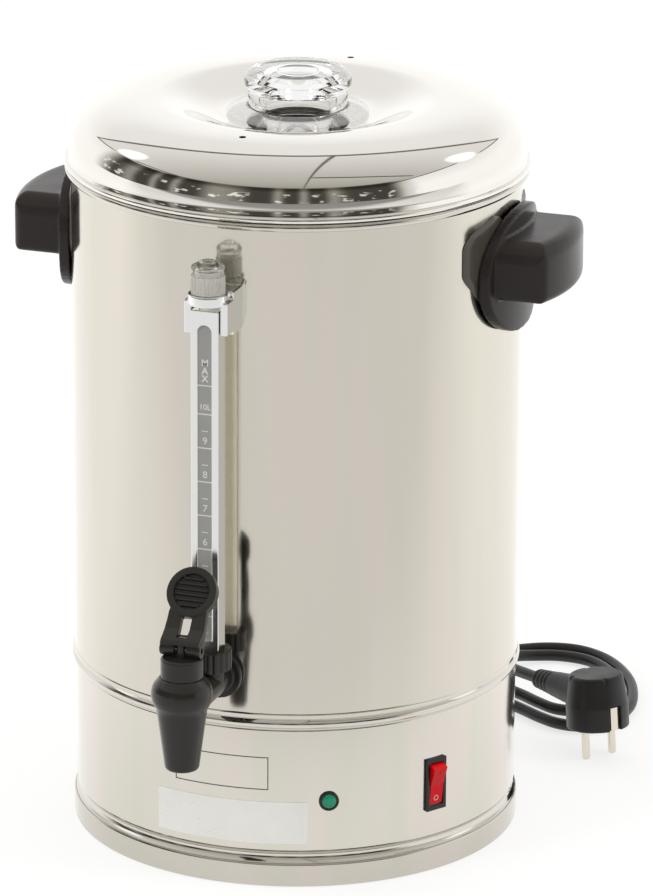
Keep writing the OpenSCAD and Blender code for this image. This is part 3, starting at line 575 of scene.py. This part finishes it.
on_rocker = (Matrix.Rotation(switch_turn, 4, "Z")
             @ Matrix.Translation(Vector((0, -rocker_pivot, switch_height)) * mm)
             @ Matrix.Rotation(rocker_lean, 4, "X")
             @ Matrix.Translation(Vector((0, -mark_out, -mark_down)) * mm)
             @ Matrix.Rotation(mark_lean, 4, "X"))
rocker_mark = turned("rocker_mark", eased([
    (mark_in, mark_low, 0), (mark_r, mark_low, 0), (mark_r, mark_high, 0.05),
    (mark_in, mark_high, 0.05)], 3), 48, on_rocker)
dressed(rocker_mark, mark_paint, "rocker", slot="scale_film")
tin_brass = bright_metal("switch_brass", (0.72, 0.55, 0.26), 0.3)
refinish(tin_brass, "switch_tabs")

# ---------------------------------------------------------------- tank
# A tube of satin steel, one millimetre thick, with a rolled rim at the top. A round bead and
# a flat one are pressed into it above the seam with the base, and the round bead and the rim are
# bright.
tank_r = 127
tank_in = tank_r - 1
seam_z = 93.4
rim_z = 386.4
roll_r = 2.3
bead_out, bead_tall, bead_steps = 1.55, 5.4, 10
flat_low, flat_high, flat_out = seam_z + 6.6, seam_z + 8.6, 0.5
rim_out = 1.15
satin = brushed_steel("steel_satin", (0.62, 0.59, 0.525), 0.115, 0.022)
bead = [(tank_r - 0.1 + bead_out * math.sin(math.pi * i / bead_steps),
         seam_z + 0.5 + bead_tall * i / bead_steps) for i in range(bead_steps + 1)]
roll = [(tank_r + rim_out + roll_r * math.cos(math.radians(a)),
         rim_z - roll_r + roll_r * math.sin(math.radians(a))) for a in range(-110, 181, 10)]
tank = turned("tank", [(tank_in, seam_z), (tank_r - 0.1, seam_z)] + bead
              + [(tank_r - 0.05, flat_low - 0.4), (tank_r + flat_out - 0.05, flat_low),
                 (tank_r + flat_out, flat_high), (tank_r + 0.05, flat_high + 0.5),
                 (tank_r, flat_high + 1), (tank_r, rim_z - roll_r * 2)] + roll,
              sheet_sides, sharp=40)
dressed(tank, satin, "root", "tank_shell", slot="steel_satin")
tank.data.materials.append(buffed)
for face in tank.data.polygons:
    outside = face.center.xy.length > (tank_in + 0.6) * mm
    height = face.center.z / mm
    if outside and (height < flat_low - 0.5 or height > rim_z - roll_r * 2 + 0.2):
        face.material_index = 1

# ---------------------------------------------------------------- handles
# Each handle is a dark phenolic moulding: an oval plate, curved like the tank, with a wide
# rounded lug. It stands on a chamfered seat, and two screws from inside the tank hold both.
handle_z = 335
seat_middle = 6
seat_low, seat_high = tank_r + 0.06, tank_r + 1.22
seat_corners = [(-55, 9, 7), (-30, -22, 8), (30, -22, 8), (55, 9, 7), (55, 27, 6), (49, 33, 6),
                (30, 39, 6), (-30, 39, 6), (-49, 33, 6), (-55, 27, 6)]
phenolic = moulded("phenolic", (0.030, 0.025, 0.0235), 0.26, 0.9, 0.012, 0.17)
# The seat's phenolic is painted lighter and glossier than the handle's, a painted sheen for the
# highlight on its chamfers.
seat_sheen_phenolic = moulded("phenolic_painted_sheen_seat", (0.075, 0.063, 0.052), 0.22, 0.9, 0.012, 0.45)


def lofted(name, rings, sharp=32):
    """Walls through rings of points, closed with a flat face at each end."""
    sides = len(rings[0])
    points = [p for loop in rings for p in loop]
    faces = ring_faces(len(rings), sides, False)
    faces.append(tuple(reversed(range(sides))))
    faces.append(tuple(range(len(points) - sides, len(points))))
    piece = piece_of(name, points, faces, sharp)
    form = bmesh.new()
    form.from_mesh(piece.data)
    bmesh.ops.recalc_face_normals(form, faces=form.faces)
    form.to_mesh(piece.data)
    form.free()
    return piece


def joined(name, pieces):
    """Several meshes as one piece."""
    form = bmesh.new()
    for piece in pieces:
        form.from_mesh(piece.data)
    mesh = bpy.data.meshes.new(name)
    form.to_mesh(mesh)
    form.free()
    mesh.shade_smooth()
    mesh.set_sharp_from_angle(angle=math.radians(35))
    for piece in pieces:
        bpy.data.objects.remove(piece)
    return placed(name, mesh)


def wrapped(outline, size, radius, side):
    """An outline seen from the side, scaled and laid on a cylinder about the urn's axis."""
    return [Vector((side * math.sqrt(radius ** 2 - (y * size) ** 2), y * size,
                    handle_z + seat_middle + (z - seat_middle) * size)) * mm
            for y, z in outline]


for side, word in ((-1, "left"), (1, "right")):
    handle = softened(f"handle_{word}_piece", f"handle_{word}", 0.7, 7, 0.45)
    dressed(handle, phenolic, "root", f"handle_{word}", slot="dark_plastic")
    outline = eased(seat_corners, 5)
    rings = [wrapped(outline, size, seat_low, side) for size in (0.02, 0.25, 0.5, 0.75, 0.985)]
    rings += [wrapped(outline, size, radius, side) for size, radius in (
        (0.992, seat_low + 0.25), (0.985, seat_low + 0.5), (0.93, seat_high - 0.1),
        (0.915, seat_high), (0.7, seat_high), (0.45, seat_high), (0.2, seat_high),
        (0.02, seat_high))]
    seat = lofted(f"handle_seat_{word}_piece", rings)
    dressed(seat, seat_sheen_phenolic, "root", f"handle_seat_{word}", slot="dark_plastic")

# ---------------------------------------------------------------- tap
# The tap is moulded in black nylon: a bulb with a tapered spout, on a shank that goes through
# the tank wall to a nut. A bonnet screws in on top, and a spring holds the seat cup down.
tap_plastic = moulded("tap_plastic", (0.021, 0.0195, 0.0165), 0.22, 0.8, 0.015, 0.34)
tap_body = softened("tap_body_piece", "tap_body", 0.6, 3, 0.6)
dressed(tap_body, tap_plastic, "root", "tap_body", slot="black_plastic")
bonnet = softened("tap_bonnet_piece", "tap_bonnet", 0.4, 1, 0.6)
dressed(bonnet, tap_plastic, "root", "tap_bonnet", slot="black_plastic")
lever = softened("tap_lever_piece", "tap_lever", 0.4, 2, 0.6)
dressed(lever, tap_plastic, "tap_lever", "tap_lever", slot="black_plastic")
silicone = moulded("silicone", (0.70, 0.69, 0.64), 0.42, 0.7, 0.02)
tuned(silicone, {"Subsurface Weight": 0.2})
refinish(silicone, "gauge_seal", "seat_cup")
refinish(foot_rubber, "tap_seals")
refinish(tap_plastic, "valve_stem")
refinish(nickel, "tap_nut", "lever_pin")
spring_wire = bright_metal("spring_wire", (0.52, 0.51, 0.50), 0.22)
spring = placed("valve_spring_piece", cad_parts["valve_spring"].data.copy())
dressed(spring, spring_wire, "root", "valve_spring", slot="steel_plain")
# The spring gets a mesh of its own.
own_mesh(spring)

# ---------------------------------------------------------------- sight gauge
# A glass tube stands in a fluted nut on the tap's shank. A bright steel channel shields it,
# and in the channel's window a grey film carries the litre marks and numbers in white.
gauge_y = -(tank_r + 19)
nut = softened("gauge_nut_piece", "gauge_nut", 0.4, 1, 0.6)
dressed(nut, tap_plastic, "root", "gauge_nut", slot="black_plastic")


def clear(name, colour, rough, ior):
    """Clear glass or plastic with a faint tint and the odd rub mark."""
    material, tree, shader = shader_of(name)
    tuned(material, {"Transmission Weight": 1, "IOR": ior})
    place = tree.nodes.new("ShaderNodeTexCoord").outputs["Object"]
    rubs = cloudy(tree, place, 14, 5)
    fed(tree, shader, graded(tree, rubs, 0.45, 0.8, rough, rough + 0.06),
        tinted(tree, rubs, colour, 1, 0.97))
    return material


tube_glass = clear("tube_glass", (0.90, 0.93, 0.92), 0.02, 1.47)
tuned(tube_glass, {"Transmission Weight": 0, "Alpha": 0.16})
refinish(tube_glass, "sight_tube")
chrome = bright_metal("chrome", (0.76, 0.765, 0.765), 0.07, 0.003, 20)
shield = softened("gauge_shield_piece", "gauge_shield", 0.35, 1, 0.5)
shield_steel = bright_metal("shield_steel", (0.77, 0.775, 0.775), 0.2, 0.003, 20)
dressed(shield, shield_steel, "root", "gauge_shield", slot="chrome")

# The tank throws light back into the channel; a painted glow and a pale, unmetallic colour on the
# channel's inside and on the film's back stand in for it.
shield_inner_glow = brushed_steel("steel_shield_inside", (0.80, 0.78, 0.70), 0.45, 0.02)
film_rear_glow = moulded("scale_film_back", (0.72, 0.70, 0.62), 0.4, 0.5, 0.01)
for throwing_back in (shield_inner_glow, film_rear_glow):
    tuned(throwing_back, {"Metallic": 0, "Emission Color": (1, 0.96, 0.84, 1),
                          "Emission Strength": 0.4})
shield.data.materials.append(shield_inner_glow)
channel_half = 7.3
for face in shield.data.polygons:
    inwards = Vector((-face.center.x, gauge_y * mm - face.center.y, 0))
    inside = face.normal.dot(inwards) > 0 and abs(face.center.x) < channel_half * mm
    if inside and face.normal.y > -0.2:
        face.material_index = 1
bracket = softened("gauge_bracket_piece", "gauge_bracket", 0.45, 3, 0.6)
dressed(bracket, chrome, "root", "gauge_bracket", slot="chrome")

scale_film = moulded("scale_film", (0.37, 0.37, 0.36), 0.4, 0.5, 0.01)
film = placed("gauge_scale_piece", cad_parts["gauge_scale"].data.copy())
dressed(film, scale_film, "root", "gauge_scale", slot="scale_film")
film.data.materials.append(film_rear_glow)
for face in film.data.polygons:
    face.material_index = 1 if face.normal.y > 0.5 else 0
mark_white = moulded("mark_white", (0.80, 0.80, 0.79), 0.5, 0.5, 0.01)
film_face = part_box("gauge_scale")[0].y / mm - 0.03
full_line = 299.1
top_litre = 282.8
litre_step = 19.4
long_mark, long_thick = 8.4, 0.7
short_mark, short_thick = 3.6, 0.5
word_high, word_above, letter_step = 5.2, 12.8, 4.5
number_high, number_above, top_number_high = 5.6, 4.0, 4.6
print_thick = 0.06
mark_parts = []


def bar(width, height, middle_z):
    """A printed line on the film, as a thin slab."""
    x, z = width / 2, height / 2
    deep = film_face + print_thick
    corners = [(-x, film_face, middle_z - z), (x, film_face, middle_z - z),
               (x, film_face, middle_z + z), (-x, film_face, middle_z + z),
               (-x, deep, middle_z - z), (x, deep, middle_z - z),
               (x, deep, middle_z + z), (-x, deep, middle_z + z)]
    faces = [(0, 1, 2, 3), (7, 6, 5, 4), (4, 5, 1, 0), (3, 2, 6, 7), (5, 6, 2, 1), (0, 3, 7, 4)]
    return piece_of("mark", [Vector(c) * mm for c in corners], faces)


def figure(text, size, middle_z, bold=0.05):
    """Printed figures on the film, upright and centred."""
    letters = bpy.data.curves.new("figures", "FONT")
    letters.body = text
    letters.size = size * mm
    letters.align_x = "CENTER"
    letters.align_y = "CENTER"
    letters.extrude = print_thick / 2 * mm
    letters.offset = bold * mm
    source = placed("figures", letters)
    bpy.context.view_layer.update()
    mesh = bpy.data.meshes.new_from_object(
        source.evaluated_get(bpy.context.evaluated_depsgraph_get()))
    bpy.data.objects.remove(source)
    mesh.transform(Matrix.Translation((0, (film_face + print_thick / 2) * mm, middle_z * mm))
                   @ Matrix.Rotation(math.radians(90), 4, "X"))
    return placed("figures", mesh)


mark_parts.append(bar(long_mark, long_thick, full_line))
for count, letter in enumerate("MAX"):
    mark_parts.append(figure(letter, word_high, full_line + word_above - letter_step * count, 0.16))
for litre in range(10, 3, -1):
    line_z = top_litre - litre_step * (10 - litre)
    mark_parts.append(bar(long_mark, long_thick, line_z))
    mark_parts.append(bar(short_mark, short_thick, line_z - litre_step / 2))
    word, high = ("10L", top_number_high) if litre == 10 else (str(litre), number_high)
    mark_parts.append(figure(word, high, line_z + number_above))
marks = joined("gauge_marks", mark_parts)
dressed(marks, mark_white, "root", slot="scale_film")

# ---------------------------------------------------------------- gauge cap
# A clear moulded cap pushes over the top of the tube. Its skirt is finely ribbed and frosted
# for grip, and its top is a clear cone.
cap_low = handle_z + 15.8
cap_ribs, rib_deep = 30, 0.55
skirt_r, skirt_high, skirt_rings = 9.5, 9, 10
tube_hole_r, tube_hole_deep = 5.2, 13


def ribbed(piece, axis_x, axis_y, count, depth, low, high):
    """Presses upright ribs into the outer wall of a turned piece, between two heights."""
    for point in piece.data.vertices:
        x, y, z = point.co.x / mm - axis_x, point.co.y / mm - axis_y, point.co.z / mm
        radius = math.hypot(x, y)
        if radius < 6 or not low <= z <= high:
            continue
        cut = depth * (0.5 - 0.5 * math.cos(count * math.atan2(y, x)))
        scale = (radius - cut) / radius
        point.co.x = (axis_x + x * scale) * mm
        point.co.y = (axis_y + y * scale) * mm


on_tube = Matrix.Translation((0, gauge_y * mm, cap_low * mm))
skirt_rows = [(skirt_r, skirt_high * (i + 1) / skirt_rings) for i in range(skirt_rings)]
cap = turned("gauge_cap_piece", [(tube_hole_r, 0), (skirt_r - 0.3, 0)] + skirt_rows
             + eased([(9.4, 9.6, 0.4), (8.7, 10.5, 0.3), (8.7, 13.0, 0.3), (9.3, 13.8, 0.4),
                      (8.9, 15.0, 0.5), (2.0, 19.0, 1.0)], 4)
             + [(0, 19.2), (0, tube_hole_deep), (tube_hole_r, tube_hole_deep)], 240, on_tube)
ribbed(cap, 0, gauge_y, cap_ribs, rib_deep, cap_low + 0.8, cap_low + 9.4)
frosted = clear("cap_plastic", (0.86, 0.85, 0.80), 0.3, 1.35)
tuned(frosted, {"Transmission Weight": 0.45})
clear_top = clear("cap_plastic_clear", (0.94, 0.935, 0.91), 0.03, 1.38)
dressed(cap, frosted, "gauge_cap", "gauge_cap", slot="clear_plastic")
cap.data.materials.append(clear_top)
for face in cap.data.polygons:
    if face.center.z > (cap_low + 10) * mm:
        face.material_index = 1

# ---------------------------------------------------------------- pump and coffee basket
# The pump is an aluminium tube with a bell foot and a loose valve ring. It carries the spun
# basket and its pierced spreader.
spun_alloy = brushed_steel("aluminium_spun", (0.60, 0.60, 0.59), 0.33, 0.006, 0.01)
refinish(spun_alloy, "pump_stem", "pump_foot", "basket", "basket_cover")
refinish(mill_steel, "pump_valve", "knob_clip")

# ---------------------------------------------------------------- lid
# The lid is spun from sheet steel and mirror polished: a full round shoulder, a shallow dish
# in the middle and a rolled lip. Two steam holes are drilled at the sides.
lip_z = rim_z + 0.4
lip_r = 131.3
crown_z = 423.5
crown_r = 80
dish_z = 414
dish_r = 42
shoulder_r = lip_r - 2.6
fullness = 2 / 2.9
skin = 0.9
lip_roll = 1.7
knob_hole_r = 21.9
spigot_r, spigot_deep = tank_in - 0.7, 12
hole_out, hole_r = 91, 2


def shoulder(inset, count=40):
    """The shoulder's curve, from the lip up to the crown."""
    rise = crown_z - inset - lip_z - 1
    return [(crown_r + (shoulder_r - inset - crown_r) * math.cos(a) ** fullness,
             lip_z + 1 + rise * math.sin(a) ** fullness)
            for a in (math.radians(90 * i / count) for i in range(count + 1))]


def dish(inset, count=28):
    """The gentle fall from the crown to the flat middle."""
    return [(crown_r - (crown_r - dish_r) * t,
             dish_z - inset + (crown_z - dish_z) * (1 + math.cos(math.pi * t)) / 2)
            for t in (i / count for i in range(1, count + 1))]


lip = [(lip_r - lip_roll + lip_roll * math.cos(math.radians(a)),
        lip_z + lip_roll + lip_roll * math.sin(math.radians(a))) for a in range(-90, 101, 10)]
lid_outline = (lip + shoulder(0)[1:] + dish(0)
               + [(knob_hole_r, dish_z), (knob_hole_r, dish_z - skin)]
               + dish(skin)[::-1] + shoulder(skin)[::-1][:-1]
               + [(spigot_r, lip_z + 1.2), (spigot_r, lip_z - spigot_deep),
                  (spigot_r - skin, lip_z - spigot_deep), (spigot_r - skin, lip_z + 0.2),
                  (tank_in - 0.6, lip_z)])
mirror_steel = bright_metal("steel_mirror", (0.78, 0.755, 0.71), 0.035, 0.010, 55, 0.3)
lid = turned("lid_piece", lid_outline, 320, sharp=50)
drill_outline = [(0, crown_z - 10), (hole_r, crown_z - 10), (hole_r, crown_z + 10), (0, crown_z + 10)]
drills = joined("drills", [
    turned("drill", drill_outline, 24, Matrix.Translation((0, end * hole_out * mm, 0)))
    for end in (1, -1)])
steam_holes = lid.modifiers.new("steam_holes", "BOOLEAN")
steam_holes.object = drills
settled(lid, 50)
bpy.data.objects.remove(drills)
dressed(lid, mirror_steel, "lid", "lid", slot="steel_polished")

# ---------------------------------------------------------------- knob
# A hollow knob of clear moulded plastic on a wide thin flange, so that the rising brew shows
# through its waist. A spring clip under the lid holds it.
knob_r = 30
flange_z = dish_z + 0.4
knob_top = dish_z + 26
knob_low = dish_z - 9
neck_r, neck_bore_r = 21.3, 19
crown_thick, pocket_r = 5, 11.5
knob_plastic = clear("knob_plastic", (0.985, 0.985, 0.98), 0.012, 1.49)
knob = turned("knob_piece", eased([
    (neck_bore_r, knob_low, 0.3), (neck_r, knob_low, 0.4), (neck_r, flange_z, 0.2),
    (knob_r + 9, flange_z, 0.3),
    (knob_r + 10, flange_z + 1, 0.6), (knob_r + 9.4, flange_z + 2.2, 0.6),
    (knob_r + 4, flange_z + 3.6, 1.2), (knob_r - 1.6, flange_z + 4.6, 1.0),
    (knob_r - 2, flange_z + 7, 1.5), (knob_r - 2, flange_z + 13, 1.5),
    (knob_r - 0.8, flange_z + 15, 1.0), (knob_r, flange_z + 17, 1.2),
    (knob_r, flange_z + 21, 1.6), (knob_r - 1.6, knob_top - 2.6, 1.2),
    (knob_r - 5, knob_top - 0.4, 2.0), (12, knob_top - 0.2, 1.0), (0, knob_top, 0),
    (0, knob_top - crown_thick, 0), (pocket_r, knob_top - crown_thick, 0.8),
    (pocket_r, knob_top - 9, 0.6), (neck_bore_r, knob_top - 12, 1.2)], 5), 160, sharp=60)
dressed(knob, knob_plastic, "knob", "knob", slot="clear_plastic")
flange_plastic = clear("knob_plastic_flange", (0.93, 0.93, 0.92), 0.012, 1.49)
tuned(flange_plastic, {"Transmission Weight": 0, "Alpha": 0.22})
knob.data.materials.append(flange_plastic)
for face in knob.data.polygons:
    if face.center.z < (flange_z + 4.2) * mm and face.center.xy.length > (neck_r + 0.3) * mm:
        face.material_index = 1

# ---------------------------------------------------------------- studio
# A white table top and soft white light all round. The metal also sees the room: a white wall
# behind, a cream ceiling with thin dark seams, and a dim far end with small lights in front.
table_half = 9
table_drop = 0.4 * mm
table = bpy.data.meshes.new("table")
table.from_pydata([(x * table_half, y * table_half, -table_drop)
                   for x, y in ((-1, -1), (1, -1), (1, 1), (-1, 1))], [], [(0, 1, 2, 3)])
placed("table", table)
table_white, tree, shader = shader_of("table_white")
tuned(table_white, {"Base Color": (0.34, 0.34, 0.34, 1), "Roughness": 0.9,
                    "Specular IOR Level": 0, "Emission Color": (1, 1, 1, 1)})
table.materials.append(table_white)


def worked(tree, operation, a, b=None):
    """One sum among the nodes of a tree, whose terms are numbers or other sums."""
    node = tree.nodes.new("ShaderNodeMath")
    node.operation = operation
    for place, term in enumerate((a, b)):
        if isinstance(term, (int, float)):
            node.inputs[place].default_value = term
        elif term is not None:
            tree.links.new(term, node.inputs[place])
    return node.outputs[0]


def shared(tree, share, one, other):
    """The one level where the share is full, and the other where it is nought."""
    return worked(tree, "ADD", worked(tree, "MULTIPLY", share, one),
                  worked(tree, "MULTIPLY", worked(tree, "SUBTRACT", 1, share), other))


# The table glows white to the eye, and is a little dimmer where the metal mirrors it.
path = tree.nodes.new("ShaderNodeLightPath")
seen = worked(tree, "MAXIMUM", path.outputs["Is Transmission Ray"], worked(
    tree, "MAXIMUM", path.outputs["Is Camera Ray"], path.outputs["Is Glossy Ray"]))
spot = tree.nodes.new("ShaderNodeNewGeometry")
behind = tree.nodes.new("ShaderNodeVectorMath")
behind.operation = "DOT_PRODUCT"
behind.inputs[1].default_value = (-math.sin(camera_turn), math.cos(camera_turn), 0)
tree.links.new(spot.outputs["Position"], behind.inputs[0])
mirrored_table = worked(tree, "MULTIPLY",
                        graded(tree, behind.outputs["Value"], -0.55, 0.15, 0.60, 0.92),
                        graded(tree, behind.outputs["Value"], -1.9, -2.8, 1, 0.1))
table_level = shared(tree, path.outputs["Is Glossy Ray"], mirrored_table, 0.72)
tree.links.new(worked(tree, "MULTIPLY", seen, table_level), shader.inputs["Emission Strength"])

world = bpy.data.worlds.new("studio")
bpy.context.scene.world = world
world.use_nodes = True
room = world.node_tree
direction = room.nodes.new("ShaderNodeTexCoord").outputs["Generated"]
split = room.nodes.new("ShaderNodeSeparateXYZ")
room.links.new(direction, split.inputs["Vector"])
ray = room.nodes.new("ShaderNodeLightPath")


def plus(a, b):
    """Two levels or angles of the room added."""
    return worked(room, "ADD", a, b)


def less(a, b):
    """One level or angle of the room taken from another."""
    return worked(room, "SUBTRACT", a, b)


def times(a, b):
    """One level or angle of the room multiplied by another."""
    return worked(room, "MULTIPLY", a, b)


def strip(value, middle, half, soft):
    """One inside a strip, nought outside it, with soft edges."""
    ramp = room.nodes.new("ShaderNodeMapRange")
    ramp.interpolation_type = "SMOOTHSTEP"
    ramp.inputs["From Min"].default_value = half + soft
    ramp.inputs["From Max"].default_value = half
    room.links.new(worked(room, "ABSOLUTE", less(value, middle)), ramp.inputs["Value"])
    return ramp.outputs["Result"]


# Angles and slopes of the direction looked in, with the camera's own direction as nought.
across, along, up = (split.outputs[axis] for axis in "XYZ")
height_angle = worked(room, "ARCSINE", up)
compass = less(worked(room, "ARCTAN2", across, times(along, -1)), camera_turn)
sideways = plus(times(across, math.cos(camera_turn)), times(along, math.sin(camera_turn)))
backwards = less(times(along, math.cos(camera_turn)), times(across, math.sin(camera_turn)))
slope = worked(room, "MAXIMUM", up, 0.04)
over_side = worked(room, "DIVIDE", sideways, slope)
over_back = worked(room, "DIVIDE", backwards, slope)

# The cream ceiling ends in a bow at the back and straight at its sides, with a seam all round.
ceiling_side = 1.68
ceiling_end = plus(0.62, times(worked(room, "POWER", over_side, 2), 0.45))
past_end = less(over_back, ceiling_end)
aside = worked(room, "ABSOLUTE", over_side)
between_sides = graded(room, aside, ceiling_side - 0.02, ceiling_side + 0.06, 1, 0)
before_end = graded(room, past_end, -0.01, 0.02, 1, 0)
ceiling = times(before_end, between_sides)
cream = plus(graded(room, over_back, -2.2, -0.4, 0.36, 0.66),
             graded(room, over_back, -0.4, 0.6, 0, 0.26))
seams = [times(strip(past_end, 0, 0.03, 0.03), between_sides),
         times(strip(aside, ceiling_side, 0.03, 0.03), before_end),
         times(strip(over_side, 0.1, 0.004, 0.008), ceiling),
         times(strip(over_back, -0.62, 0.02, 0.03),
               times(ceiling, strip(over_side, 0.75, 0.6, 0.1)))]
dark = seams[0]
for seam in seams[1:]:
    dark = worked(room, "MAXIMUM", dark, seam)
white_wall = graded(room, height_angle, 0.22, 0.55, 1.2, 1.0)
room_level = times(shared(room, ceiling, cream, white_wall), less(1, times(dark, 0.8)))

# Two bright round lamps hang at the sides.
for lamp_compass, lamp_up, lamp_half in ((-1.95, 0.62, 0.12), (1.9, 0.62, 0.12)):
    off_side = worked(room, "POWER", times(less(compass, lamp_compass), math.cos(lamp_up)), 2)
    off_height = worked(room, "POWER", less(height_angle, lamp_up), 2)
    away = worked(room, "POWER", plus(off_side, off_height), 0.5)
    bright = graded(room, away, lamp_half, lamp_half + 0.10, 1.5, 0)
    room_level = worked(room, "MAXIMUM", room_level, bright)

# The dim far end has pale pillars and a row of small lights.
sparkle = room.nodes.new("ShaderNodeTexNoise")
sparkle.inputs["Scale"].default_value = 9
sparkle.inputs["Detail"].default_value = 3
room.links.new(direction, sparkle.inputs["Vector"])
small_lights = graded(room, sparkle.outputs["Fac"], 0.58, 0.64, 0, 0.7)
uneven = times(worked(room, "SINE", times(compass, 5)), 2.5)
pillar_wave = worked(room, "SINE", plus(times(compass, 17), uneven))
pillars = worked(room, "POWER", plus(0.5, times(pillar_wave, 0.5)), 3)
far_end = plus(plus(0.07, times(pillars, 0.28)),
               times(small_lights, strip(height_angle, 0.12, 0.1, 0.06)))
far_end = times(far_end, graded(room, height_angle, 0.32, 0.42, 1, 0.45))
low_front = times(strip(height_angle, 0.12, 0.36, 0.05), strip(compass, -0.5, 1.3, 0.35))

# The metal mirrors the room, other surfaces get a plain white light, and the eye sees white.
plain_level = 0.80
studio_level = shared(room, ray.outputs["Is Glossy Ray"],
                      shared(room, low_front, far_end, room_level), plain_level)
open_view = worked(room, "MAXIMUM", ray.outputs["Is Camera Ray"],
                   ray.outputs["Is Transmission Ray"])
whole_level = shared(room, open_view, 1, studio_level)
room.links.new(whole_level, room.nodes["Background"].inputs["Strength"])
warmth = room.nodes.new("ShaderNodeMix")
warmth.data_type = "RGBA"
warmth.inputs["A"].default_value = (1, 0.94, 0.82, 1)
warmth.inputs["B"].default_value = (1, 1, 1, 1)
room.links.new(graded(room, whole_level, 0.15, 1.0, 0, 1), warmth.inputs["Factor"])
room.links.new(warmth.outputs["Result"], room.nodes["Background"].inputs["Color"])

urn_middle = Vector((0, 0, 0.25))


def soft_lamp(name, azimuth, away, height, wide, power):
    """A square soft lamp that points at the urn's middle, and that no metal mirrors."""
    data = bpy.data.lights.new(name, "AREA")
    data.size = wide
    data.energy = power
    lamp = placed(name, data)
    lamp.visible_glossy = False
    lamp.location = outward(math.radians(azimuth), away, height)
    lamp.rotation_euler = (urn_middle - lamp.location).to_track_quat("-Z", "Y").to_euler()


soft_lamp("lamp_left", azimuth=-40, away=2.0, height=2.0, wide=0.9, power=16)
soft_lamp("lamp_right", azimuth=95, away=2.2, height=1.8, wide=0.7, power=10)
bpy.context.scene.view_settings.view_transform = "Standard"
